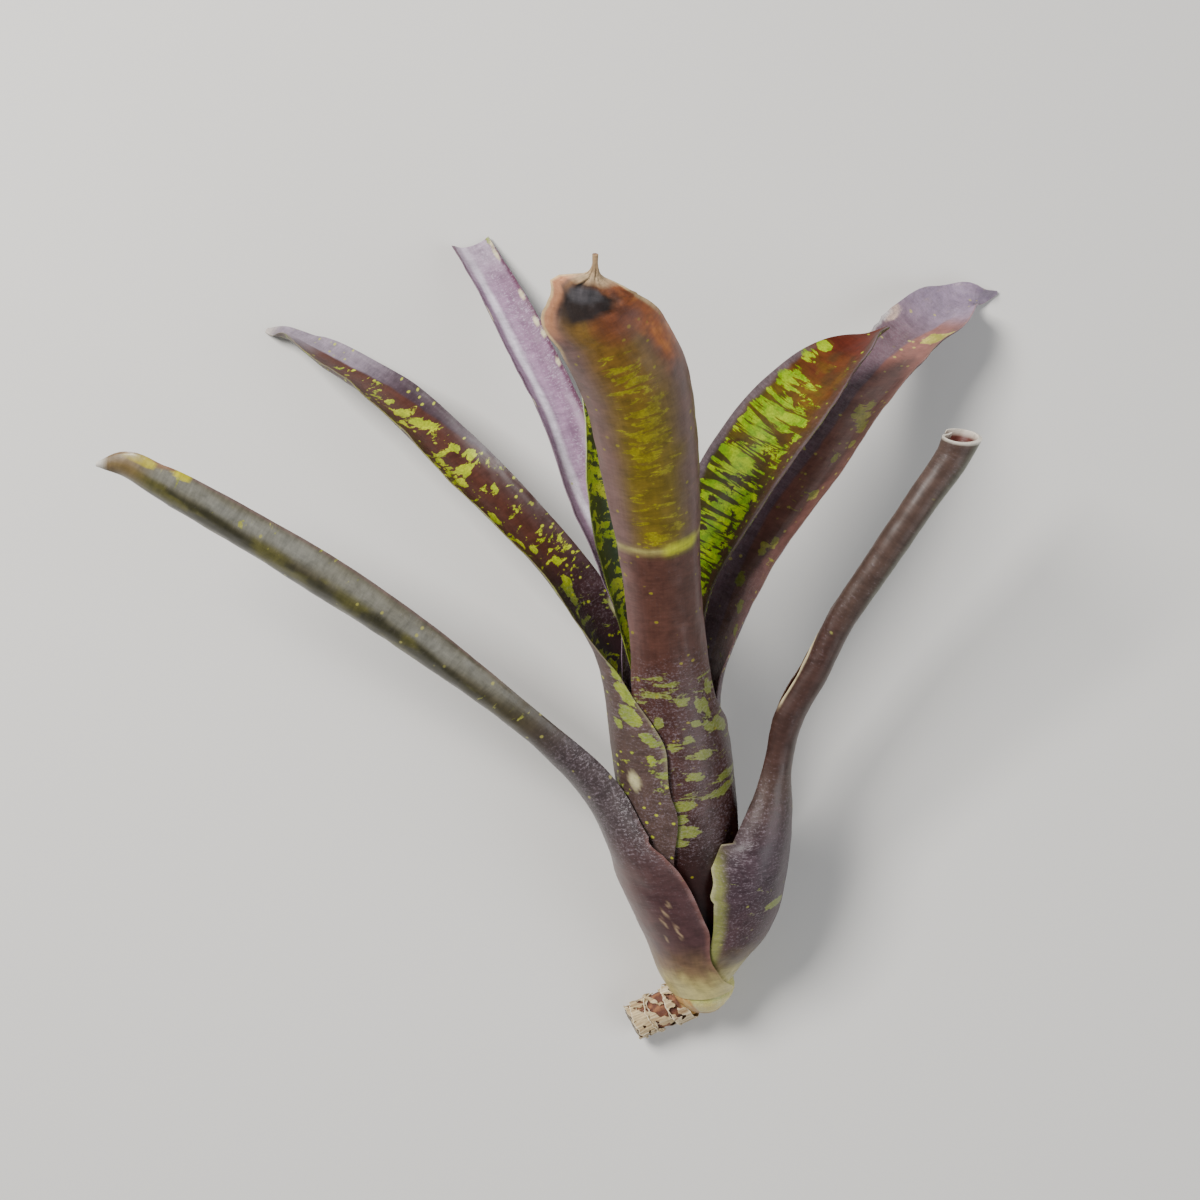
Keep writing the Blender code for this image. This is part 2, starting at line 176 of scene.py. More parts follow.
STATIONS = {
    "leaf_outer_left": [
        sheath(1, -62, 117, 8.2), sheath(5.5, -62, 88, 9.9), sheath(9.5, -63, 78, 10.9),
        sheath(14, -64, 69, 11.8), sheath(22, -66, 66, 14, 12.4), sheath(33, -69, 68, 17, 12.4),
        sheath(41, -70, 70, 18.4, 11.4, twist=-6),
        *blades((-3.8, -43.6, 34.5, 7.4, 70, 22), (-12.2, -34.2, 37.5, 5.3, 72, 38),
                (-26.8, -21.8, 43, 5.2, 72, 45), (-42, -10.8, 47, 6.4, 72, 45),
                (-57, -0.7, 51, 7.1, 72, 45), (-71, 8.4, 54, 7, 70, 45), (-85, 17, 57, 6.7, 68, 45),
                (-96.2, 23.8, 59, 5.9, 64, 45), (-104, 28.4, 60, 4.1, 56, 42),
                (-108.3, 29.2, 60, 0.8, 40, 40)),
    ],
    "leaf_outer_right": [
        sheath(3, 60, 105, 7), sheath(6, 62, 86, 9.2, 8), sheath(9.5, 64, 88, 12, 7.9),
        sheath(14, 66, 97, 16, 9.3), sheath(20, 68, 106, 19.4, 10.2), sheath(31, 70, 107, 22.8, 11.5),
        sheath(44, 72, 113, 25.2, 7.9),
        *blades((43, -39.5, 36, 4.3, 115, 0), (45.3, -27.5, 40, 3.5, 140, 0),
                (50.4, -17, 44, 3.1, 155, 0), (56, -5.1, 48, 3, 160, 0), (63, 5.6, 52, 3.2, 160, 0),
                (72.2, 20, 57, 3.3, 160, 0), (80, 31.5, 60.3, 3.7, 160, 0),
                (81.4, 34.4, 61.2, 3.9, 160, 0)),
    ],
    "leaf_left": [
        *nested(0, (5.5, -112, 100), (20, -112, 100), (38, -113, 96), (54, -114, 106),
                (66, -116, 84), (75, -118, 62)),
        sheath(84, -120, 50, 14.5, 12),
        *blades((-8.3, 4.4, 36.5, 9.8, 48, -12), (-21.2, 19.2, 35.5, 9, 50, -22),
                (-35.3, 33.2, 31.5, 9.2, 51, -25), (-49.3, 46.2, 23.5, 8.8, 52, -25),
                (-60.6, 54, 15.5, 7.6, 54, -22), (-70.4, 60.8, 8.5, 5.4, 54, -18),
                (-77.2, 64.7, 3.2, 3, 50, -15), (-81.5, 66, 0.6, 0.8, 40, -15)),
    ],
    "leaf_front": [
        *nested(1, (8.5, 6, 95), (22, 6, 100), (40, 6, 100), (56, 6, 100), (66, 6, 84),
                (74, 5, 56)),
        *blades((16, -14, 53, 10.6, 53, 0), (14.2, 7, 65, 9.9, 64, 0),
                (13, 18, 73, 10.8, 66, 0), (11, 30.5, 83, 11.7, 68, 0), (7.2, 42.8, 94.2, 12.1, 65, 0),
                (2.2, 50.4, 101.3, 13, 54, 0), (-1, 55.4, 105.6, 14, 42, 0),
                (-1.6, 59, 108.6, 14, 30, 0), (-1.3, 61.2, 110.4, 3, 45, 0), (-1, 62.8, 112, 1, 40, 0),
                (-0.9, 65, 114, 0.8, 40, 0)),
    ],
    "leaf_right": [
        *nested(2, (11, 112, 100), (25, 112, 100), (45, 112, 96), (62, 112, 84)),
        sheath(69, 112, 60, 11, 10.9), sheath(76, 112, 48, 12.1, 11),
        *blades((30.2, -4, 36, 9.5, 46, 12), (35.2, 8.8, 38, 9.6, 52, 26),
                (41.2, 19.2, 37.5, 10, 54, 36), (51.6, 32.6, 33.5, 10.4, 52, 40),
                (60.9, 45.5, 26.5, 10.6, 52, 43), (69.5, 55.8, 19, 10.8, 52, 48),
                (78.1, 64, 12, 10.6, 56, 40), (84.3, 69.6, 7.8, 8.4, 58, 34),
                (90.4, 73.1, 3.9, 4.6, 54, 28), (97, 75.2, 0.7, 0.8, 40, 22)),
    ],
    "leaf_back": [
        *nested(3, (13.5, 200, 95), (28, 200, 95), (48, 200, 90), (64, 200, 76), (78, 202, 60)),
        *blades((11, -6.5, 30, 8.8, 54, 0), (4.5, 9.5, 31, 8.2, 56, 0),
                (-3.8, 25.5, 28, 7, 58, 0), (-11, 45, 21.5, 6.5, 60, 0), (-18, 59.5, 14.5, 6.6, 60, 0),
                (-25.5, 74.5, 7.5, 6.2, 58, 0), (-32, 86, 1.3, 5.8, 56, 0)),
    ],
    "leaf_inner_right": [
        *nested(4, (16, 128, 85), (32, 128, 90), (50, 128, 84), (66, 128, 68), (78, 128, 48)),
        *blades((22.6, 3.5, 40, 9.5, 38, 12), (28, 17.5, 43, 11.5, 54, 24),
                (38, 33.5, 43.5, 12.5, 56, 30), (46.3, 43.7, 41.5, 12.2, 55, 32),
                (54.5, 53, 38, 10, 52, 32), (61, 58.8, 34.5, 6, 46, 32), (66, 62.5, 31, 0.9, 40, 32)),
    ],
    "leaf_inner_back": [
        *nested(5, (18, 186, 80), (34, 186, 80), (52, 186, 76), (70, 186, 56)),
        *blades((9.8, -10, 33.6, 8, 49, 0), (6.4, 2, 36.6, 8.8, 52, 0),
                (2.8, 14, 39, 9.8, 59, 0), (1.6, 27, 40, 8.7, 59, 0), (0, 39, 41.5, 5.8, 54, 0),
                (-4.3, 48.8, 42, 0.8, 40, 0)),
    ],
    "leaf_heart": [
        sheath(20, 30, 130, 2.6), sheath(32, 30, 130, 3.4), sheath(46, 30, 140, 3.6),
        sheath(60, 30, 150, 3), sheath(70, 30, 150, 1.8), sheath(76, 30, 120, 0.8),
    ],
}


def follow(stations):
    """Rows along a smooth curve through the stations, about ROW_STEP apart."""
    stations = np.array(stations)
    gaps = np.linalg.norm(np.diff(stations[:, :3], axis=0), axis=1)
    chords = np.diff(stations, axis=0) / gaps[:, None]
    slopes = np.empty_like(stations)
    slopes[0], slopes[-1] = chords[0], chords[-1]
    near, far = gaps[:-1, None], gaps[1:, None]
    slopes[1:-1] = (chords[:-1] * far + chords[1:] * near) / (near + far)
    rows = []
    for i, gap in enumerate(gaps):
        count = max(1, round(gap / ROW_STEP))
        ends = 1 if i == len(gaps) - 1 else 0
        t = (np.arange(count + ends) / count)[:, None]
        rows.append(
            (2 * t**3 - 3 * t**2 + 1) * stations[i] + (t**3 - 2 * t**2 + t) * gap * slopes[i]
            + (3 * t**2 - 2 * t**3) * stations[i + 1] + (t**3 - t**2) * gap * slopes[i + 1]
        )
    return np.concatenate(rows)


class Spine:
    """The midrib of a leaf: its places, its length and the three directions at each row."""

    def __init__(self, stations):
        rows = follow(stations)
        self.place = rows[:, :3]
        self.curl, wrap, twist, clasp = rows[:, 3:].T
        self.wrap = np.radians(wrap)
        steps = np.linalg.norm(np.diff(self.place, axis=0), axis=1)
        self.s = np.concatenate([[0.0], np.cumsum(steps)])
        along = unit(np.gradient(self.place, self.s, axis=0))
        along = unit(along * (1 - clasp[:, None]) + AXIS * clasp[:, None])
        foot = BASE + AXIS * ((self.place - BASE) @ AXIS)[:, None]
        way = foot - self.place
        way = unit(way - along * np.sum(way * along, axis=1)[:, None])
        turn = np.radians(twist)[:, None]
        self.along = along
        self.facing = way * np.cos(turn) + np.cross(along, way) * np.sin(turn)
        self.side = np.cross(along, self.facing)

    def surface(self, v):
        """Points for v of shape (rows, columns) and the way to the inner face at each."""
        turn = self.wrap[:, None] * v
        curl = self.curl[:, None, None]
        facing, side = self.facing[:, None], self.side[:, None]
        cosine, sine = np.cos(turn)[..., None], np.sin(turn)[..., None]
        points = self.place[:, None] + facing * curl * (1 - cosine) + side * curl * sine
        return points, facing * cosine - side * sine


# Meshes
def volume_sign(points, faces):
    """Positive when the faces of a closed mesh look outwards."""
    a, b, c, d = (points[faces[:, k]] for k in range(4))
    volume = np.sum(a * np.cross(b, c)) + np.sum(a * np.cross(c, d))
    return 1 if volume > 0 else -1


def mesh_object(name, points, faces, layers, sharp=48.0):
    """A mesh of quads from points in plant millimetres, with a value per point in each layer."""
    used, faces = np.unique(faces, return_inverse=True)
    faces = faces.reshape(-1, 4)
    points = points[used]
    if volume_sign(points, faces) < 0:
        faces = faces[:, ::-1]
    mesh = bpy.data.meshes.new(name)
    places = np.clip((points + PLACE) * MM, BOX_LOW, BOX_HIGH)
    mesh.from_pydata(places.tolist(), [], faces.tolist())
    for layer, values in layers.items():
        values = values[used]
        if layer == "tint":
            values = np.column_stack([values, np.ones(len(values))])
            made = mesh.attributes.new(layer, "FLOAT_COLOR", "POINT")
            made.data.foreach_set("color", values.astype(np.float32).ravel())
        else:
            made = mesh.attributes.new(layer, "FLOAT_VECTOR", "POINT")
            made.data.foreach_set("vector", values.astype(np.float32).ravel())
    mesh.shade_smooth()
    mesh.set_sharp_from_angle(angle=math.radians(sharp))
    made = bpy.data.objects.new(name, mesh)
    bpy.context.scene.collection.objects.link(made)
    return made


def shell_faces(keep, closed=False):
    """Faces of a two-faced sheet over a grid of cells. keep says which cells are there."""
    rows, columns = keep.shape[0] + 1, keep.shape[1] + (0 if closed else 1)
    index = np.arange(rows * columns).reshape(rows, columns)
    if closed:
        index = np.column_stack([index, index[:, 0]])
    size = rows * columns
    a, b, c, d = index[:-1, :-1], index[1:, :-1], index[1:, 1:], index[:-1, 1:]
    ringed = np.pad(keep, 1)
    if closed:
        ringed[1:-1, 0], ringed[1:-1, -1] = keep[:, -1], keep[:, 0]
    faces = [np.stack([a, b, c, d], -1)[keep], (np.stack([a, d, c, b], -1) + size)[keep]]
    rims = (
        (a, d, ringed[:-2, 1:-1]),
        (c, b, ringed[2:, 1:-1]),
        (b, a, ringed[1:-1, :-2]),
        (d, c, ringed[1:-1, 2:]),
    )
    for first, second, beyond in rims:
        rim = keep & ~beyond
        faces.append(np.stack([first, second, second + size, first + size], -1)[rim])
    return np.concatenate(faces)


def flat_shape(spine, s, v):
    """No change to a leaf: where v goes, how far a point slides along, and how far it is lifted in."""
    return v, np.zeros_like(v), np.zeros_like(v)


def build_leaf(name, paint, shape, seed, midrib):
    """The shell of one leaf with a midrib of some thickness, painted point by point."""
    spine = Spine(STATIONS[name])
    v = np.linspace(-1.0, 1.0, COLUMNS + 1)[None, :].repeat(len(spine.s), axis=0)
    s = spine.s[:, None].repeat(COLUMNS + 1, axis=1)
    across, slide, lift = shape(spine, s, v)
    points, inner = spine.surface(across)
    arc = v * (spine.wrap * spine.curl)[:, None]
    waves = 0.16 * grain(s / 9.0, arc / 5.0, seed) + 0.1 * grain(s / 3.2, arc / 3.0, seed + 5)
    edge = smooth(0.82, 1.0, np.abs(v))
    waves += edge * 0.35 * grain(s / 7.0, v * 3.0, seed + 9)
    points = points + spine.along[:, None] * slide[..., None] + inner * (lift + waves)[..., None]
    thickness = MARGIN_THICKNESS + (midrib - MARGIN_THICKNESS) * (1 - np.abs(v) ** 2.5)
    half = (thickness / 2)[..., None]
    outer_face, inner_face = points - inner * half, points + inner * half
    layers = {"place": [], "tint": [], "marks": []}
    for facing_in in (False, True):
        skin = paint(s, v, facing_in)
        layers["tint"].append(skin.tint.reshape(-1, 3))
        layers["marks"].append(skin.marks.reshape(-1, 3))
        side = np.full_like(s, INNER_FACE_SHIFT * facing_in + LEAF_SHIFT * seed)
        layers["place"].append(np.stack([s, arc, side], axis=-1).reshape(-1, 3))
    layers = {key: np.concatenate(value) for key, value in layers.items()}
    both = np.concatenate([outer_face.reshape(-1, 3), inner_face.reshape(-1, 3)])
    every_cell = np.ones((len(spine.s) - 1, COLUMNS), bool)
    return mesh_object(name + "_fine", both, shell_faces(every_cell), layers)


# Materials
class Value:
    """What a node works out, ready for plain sums."""

    def __init__(self, nodes, socket):
        self.nodes, self.socket = nodes, socket

    def __add__(self, other):
        return self.nodes.math("ADD", self, other)

    def __sub__(self, other):
        return self.nodes.math("SUBTRACT", self, other)

    def __rsub__(self, other):
        return self.nodes.math("SUBTRACT", other, self)

    def __mul__(self, other):
        return self.nodes.math("MULTIPLY", self, other)


# Where a colour mix node keeps its two colours and its result
MIX_A, MIX_B, MIX_RESULT = 6, 7, 2


class Nodes:
    """A short way to write the shader nodes of one material."""

    def __init__(self, name):
        self.material = bpy.data.materials.new(name)
        self.material.use_nodes = True
        self.tree = self.material.node_tree
        self.shader = self.tree.nodes["Principled BSDF"]

    def put(self, socket, value):
        """Links a value to a socket, or gives the socket a number, a colour or a vector."""
        if isinstance(value, Value):
            self.tree.links.new(value.socket, socket)
        elif socket.type == "RGBA":
            socket.default_value = (*value, 1.0)
        else:
            socket.default_value = value

    def node(self, kind, *values, **inputs):
        """A new node with its first sockets given values and its named ones given inputs."""
        made = self.tree.nodes.new("ShaderNode" + kind)
        for socket, value in zip(made.inputs, values):
            self.put(socket, value)
        for name, value in inputs.items():
            self.put(made.inputs[name], value)
        return made

    def attribute(self, name, output="Vector"):
        node = self.node("Attribute")
        node.attribute_name = name
        return Value(self, node.outputs[output])

    def split(self, vector):
        """The three numbers of a vector."""
        return [Value(self, output) for output in self.node("SeparateXYZ", vector).outputs]

    def scaled(self, vector, along, across):
        return Value(self, self.node("Mapping", Vector=vector, Scale=(along, across, 1.0)).outputs[0])

    def noise(self, vector, detail, rough, distortion=0.0, scale=1.0):
        inputs = {"Scale": scale, "Detail": detail, "Roughness": rough, "Distortion": distortion}
        return Value(self, self.node("TexNoise", Vector=vector, **inputs).outputs["Fac"])

    def cells(self, vector):
        """Distance to the nearest of many scattered points, and that point's own random number."""
        node = self.node("TexVoronoi", Vector=vector, Scale=1.0)
        return Value(self, node.outputs["Distance"]), self.split(Value(self, node.outputs["Color"]))[0]

    def math(self, operation, a, b):
        node = self.node("Math", a, b)
        node.operation = operation
        return Value(self, node.outputs[0])

    def ramp(self, value, low, high, out_low=0.0, out_high=1.0):
        """A smooth step from out_low to out_high as value goes from low to high."""
        node = self.node("MapRange", value, low, high, out_low, out_high)
        node.interpolation_type = "SMOOTHSTEP"
        return Value(self, node.outputs[0])

    def blend(self, a, b, factor, kind="MIX"):
        node = self.node("Mix", factor)
        node.data_type = "RGBA"
        node.blend_type = kind
        self.put(node.inputs[MIX_A], a)
        self.put(node.inputs[MIX_B], b)
        return Value(self, node.outputs[MIX_RESULT])

    def finish(self, colour, rough, height, distance, strength):
        """Gives the shader its colour, roughness and bumps of a height, and returns the material."""
        bump = self.node("Bump", Height=height, Distance=distance, Strength=strength)
        sockets = self.shader.inputs
        self.put(sockets["Base Color"], colour)
        self.put(sockets["Roughness"], rough)
        self.put(sockets["Normal"], Value(self, bump.outputs[0]))
        return self.material


UNDER_SCALES = (116, 130, 60)


def leaf_material(name, scurf=(128, 114, 122), lime=(160, 186, 20), pale=(196, 202, 50), bars=(0.42, 0.17),
                  rough=0.42, speckle=0.5, specular=0.42, streaks=0.0, tone=0.86):
    """Leaf skin. The marks attribute holds lime patches, grey scale scurf and dry tissue.

    bars are the numbers of lime patches in a millimetre along and across the leaf, tone is how bright
    the skin between them is, and streaks is how far dark lines across the leaf cut them up.
    """
    n = Nodes(name)
    place = n.attribute("place")
    lime_mark, scurf_mark, dry_mark = n.split(n.attribute("marks"))

    fibres = n.noise(n.scaled(place, 0.07, 1.5), 4, 0.6)
    mottle = n.noise(n.scaled(place, 0.3, 0.24), 5, 0.65, 0.4)
    cross = n.noise(n.scaled(place, 1.3, 0.28), 4, 0.65, 0.5)
    granules = n.noise(n.scaled(place, 2, 1.35), 3, 0.75)
    patches = n.noise(n.scaled(place, *bars), 5, 0.62, 0.6)

    shade = n.ramp(fibres, 0.25, 0.75, tone - 0.07, tone + 0.07) + n.ramp(mottle, 0.3, 0.7, -0.18, 0.16)
    shade = shade + n.ramp(cross, 0.3, 0.7, -0.1, 0.1)
    colour = n.blend(n.attribute("tint", "Color"), shade, 1, "MULTIPLY")

    # Lime patches have ragged rims and are drawn out across the leaf
    patch = patches + (granules - 0.5) * 0.16 + (lime_mark - 0.5) * 0.62
    patch = n.ramp(patch, 0.485, 0.545) * n.ramp(lime_mark, 0.02, 0.12)
    if streaks:
        lines = n.noise(n.scaled(place, 0.66, 0.075), 4, 0.62, 0.6) + (lime_mark - 0.7) * -0.24
        patch = patch * (1 - n.ramp(lines, 0.49, 0.55) * streaks)
    inside = n.blend(rgb(*lime), rgb(*pale), n.ramp(mottle, 0.4, 0.62))
    inside = n.blend(inside, rgb(*UNDER_SCALES), n.ramp(scurf_mark, 0.25, 0.75, 0, 0.9))
    inside = n.blend(inside, n.ramp(granules, 0.3, 0.7, 0.72, 1.16), 1, "MULTIPLY")
    colour = n.blend(colour, inside, patch * 0.94)

    # Small pale dots
    away, pick = n.cells(n.scaled(place, 0.55, 0.44))
    dots = n.ramp(away + granules * 0.22, 0.36, 0.24)
    dots = dots * n.ramp(pick, 0.99 - 0.34 * speckle, 1 - 0.32 * speckle) * (1 - dry_mark)
    colour = n.blend(colour, rgb(*pale), dots * 0.72)

    # Rows of tiny water-taking scales look like grey dust
    dust = granules * 0.72 + cross * 0.28 + (scurf_mark - 0.5) * 0.2
    dust = n.ramp(dust, 0.5, 0.7) * n.ramp(scurf_mark, 0, 0.7, 0, 0.6)
    colour = n.blend(colour, rgb(*scurf), dust)

    roughness = n.ramp(mottle, 0.2, 0.8, rough - 0.05, rough + 0.06) + dust * 0.25 + dry_mark * 0.3
    height = fibres * 0.16 + dust * 0.6 + cross * 0.2 + granules * 1.2 * dry_mark
    n.shader.inputs["Specular IOR Level"].default_value = specular
    return n.finish(colour, roughness, height, 0.0002, 0.6)


# Painting
class Skin:
    """The paint on one face of a leaf: a colour and three kinds of mark for each point."""

    KINDS = ("lime", "scurf", "dry")

    def __init__(self, s, v, colour):
        self.s, self.v = s, v
        self.tint = np.zeros(s.shape + (3,)) + rgb(*colour)
        self.marks = np.zeros(s.shape + (3,))

    def wash(self, colour, amount):
        """Lays a colour over the tint."""
        self.tint = mix(self.tint, rgb(*colour), np.clip(amount, 0, 1))

    def mark(self, kind, amount):
        """Raises a mark to an amount."""
        k = self.KINDS.index(kind)
        self.marks[..., k] = np.maximum(self.marks[..., k], np.clip(amount, 0, 1))

    def lime(self, amount):
        self.mark("lime", amount)

    def scurf(self, amount):
        self.mark("scurf", amount)

    def dry(self, amount):
        self.mark("dry", amount)

    def clear(self, kind, amount):
        """Lowers a mark by a share."""
        self.marks[..., self.KINDS.index(kind)] *= 1 - np.clip(amount, 0, 1)

    def oval(self, at_s, at_v, long, wide):
        """1 in the middle of an oval and 0 from its rim on, falling off near the rim."""
        return np.sqrt(blob(self.s, self.v, (at_s, at_v), (long, wide)))

    def spots(self, amount, *ovals):
        """Lime patches, each by its place and its half lengths."""
        for oval in ovals:
            self.lime(amount * self.oval(*oval))


def crease(s, stations):
    """v of a fold line at s, from a list of s and v."""
    at, values = zip(*sorted(stations))
    return np.interp(s, at, values)


def paint_outer_left(s, v, facing_in):
    if facing_in:
        skin = Skin(s, v, (70, 46, 38))
        skin.lime(0.3 + 0.14 * grain(s / 9, v * 2, 11))
        skin.scurf(0.35)
        return skin
    skin = Skin(s, v, (66, 58, 38))
    blade_part = smooth(76, 104, s)
    # Painted highlight: a grey band along the upper side of the blade, with a paler streak inside it, stands
    # in for the sheen of light along the rounded leaf
    grey = v + 0.14 * grain(s / 16, v, 26)
    skin.wash((96, 92, 76), 0.85 * blade_part * between(grey, -0.8, -0.45, 0.32))
    highlight_strength = 0.45 + 0.3 * grain(s / 12, v, 97)
    skin.wash((132, 132, 126), highlight_strength * blade_part * between(grey, -0.66, -0.56, 0.26))
    skin.wash((44, 42, 20), 0.9 * blade_part * between(v + 0.16 * grain(s / 10, v, 17), -0.22, 0.2, 0.26))
    olive = smooth(-0.1, 0.35, grain(s / 7, v * 2.4, 28) + 0.3 * grain(s / 2, v * 5, 29))
    skin.wash((96, 92, 40), 0.6 * blade_part * olive * between(v, -0.3, 0.35, 0.25))
    skin.wash((96, 76, 62), 0.75 * blade_part * smooth(0.28, 0.55, v))
    skin.wash((104, 84, 80), 0.75 * blade_part * smooth(-0.88, -0.98, v))
    skin.wash((62, 50, 54), 0.85 * between(s, 44, 66, 18))
    skin.wash((92, 60, 58), 0.9 * smooth(52, 32, s))
    skin.wash((56, 32, 38), 0.6 * smooth(0, -0.7, v + 0.3 * grain(s / 8, v * 2, 18)) * smooth(48, 28, s))
    skin.wash((128, 84, 76), 0.6 * smooth(0.9, 0.98, np.abs(v)) * smooth(54, 40, s))
    skin.wash((122, 96, 66), 0.8 * smooth(19, 9, s + 4 * grain(s / 4, v * 5, 19)))
    skin.wash((192, 178, 112), smooth(10.5, 3, s + 3 * grain(s / 4, v * 5, 13)))
    skin.lime((0.24 + 0.22 * grain(s / 8, v * 1.5, 14)) * smooth(66, 78, s)
              * smooth(-0.75, 0.3, np.abs(v) - 0.5))
    skin.lime(0.42 * between(s, 78, 92, 4) * (0.8 + 0.3 * grain(s / 2.5, v * 2, 15)))
    skin.scurf(0.22 + 0.2 * grain(s / 12, v * 2, 16))
    skin.scurf(0.62 * between(s, 46, 66, 18))
    skin.scurf(0.36 * smooth(8, 30, s) * smooth(74, 56, s))
    skin.wash((132, 88, 44), 0.6 * between(s, 173, 184, 4)
              * smooth(-0.8, -0.96, v + 0.1 * grain(s / 3, v, 27)))
    gilt = np.sqrt(blob(s, v, (180.6, -0.82), (3.6, 0.2)) + blob(s, v, (171.4, -0.9), (2.4, 0.14)))
    skin.wash((182, 172, 0), 0.9 * smooth(0.2, 0.7, gilt + 0.25 * grain(s / 1.2, v * 7, 30)))
    skin.wash((120, 96, 60), 0.7 * smooth(176, 183, s))
    skin.wash((206, 200, 190), 0.9 * smooth(186.3, 188.2, s))
    skin.dry(smooth(182, 186, s))
    scratches = ((22, -0.62, 2.8), (24.5, -0.5, 1.8), (27.5, -0.57, 1.4), (19.5, -0.42, 1.2), (30, -0.66, 1))
    for at_s, at_v, long in scratches:
        line = at_v + 0.03 * grain(s / 1.4, 0, 20)
        skin.wash((170, 146, 112), 0.75 * skin.oval(at_s, line, long, 0.022))
    return skin


def paint_outer_right(s, v, facing_in):
    if facing_in:
        skin = Skin(s, v, (92, 46, 38))
        skin.scurf(0.3)
        skin.lime(0.15)
        skin.wash((226, 216, 200), smooth(143.4, 144.6, s))
        return skin
    skin = Skin(s, v, (74, 56, 48))
    skin.wash((66, 72, 50), 0.9 * smooth(0.2, -0.3, v + 0.15 * grain(s / 12, v * 2, 21)) * smooth(52, 72, s))
    # A lighter grey-green band: partly the leaf's own grey-green, partly painted highlight along the rounded
    # tube
    skin.wash((112, 114, 96), 0.55 * between(v + 0.1 * grain(s / 14, v, 31), -0.6, -0.15, 0.25)
              * smooth(60, 80, s))
    skin.wash((58, 32, 28), 0.6 * between(s, 62, 92, 10) * smooth(0.1, 0.5, v))
    skin.wash((62, 46, 54), 0.9 * smooth(58, 40, s))
    skin.wash((76, 54, 56), 0.7 * smooth(34, 20, s))
    skin.wash((112, 96, 66), 0.8 * smooth(19, 9, s + 4 * grain(s / 4, v * 5, 25)))
    skin.wash((190, 180, 118), smooth(10.5, 3, s + 3 * grain(s / 4, v * 5, 22)))
    skin.wash((134, 138, 74), 0.85 * between(s, 6, 40, 4) * smooth(0.78, 0.93, v))
    skin.wash((176, 172, 128), 0.8 * between(s, 28, 43, 2) * smooth(0.93, 0.99, v))
    skin.wash((206, 190, 150), 0.95 * between(s, 74, 90, 3) * smooth(0.88, 0.95, v))
    skin.scurf(0.3 + 0.2 * grain(s / 9, v * 3, 23))
    skin.scurf(0.56 * smooth(78, 48, s))
    skin.clear("scurf", 0.9 * smooth(20, 6, s))
    skin.lime((0.12 + 0.16 * grain(s / 7, v * 2, 24)) * smooth(60, 80, s))
    skin.lime(0.24 * between(s, 14, 34, 6))
    skin.spots(0.8, (27, 0.2, 1.4, 0.2), (21, -0.1, 1.4, 0.2), (30, -0.35, 1.6, 0.14))
    skin.wash((224, 216, 200), smooth(144, 144.8, s))
    skin.dry(between(s, 74, 88, 3) * smooth(0.86, 0.94, v))
    return skin


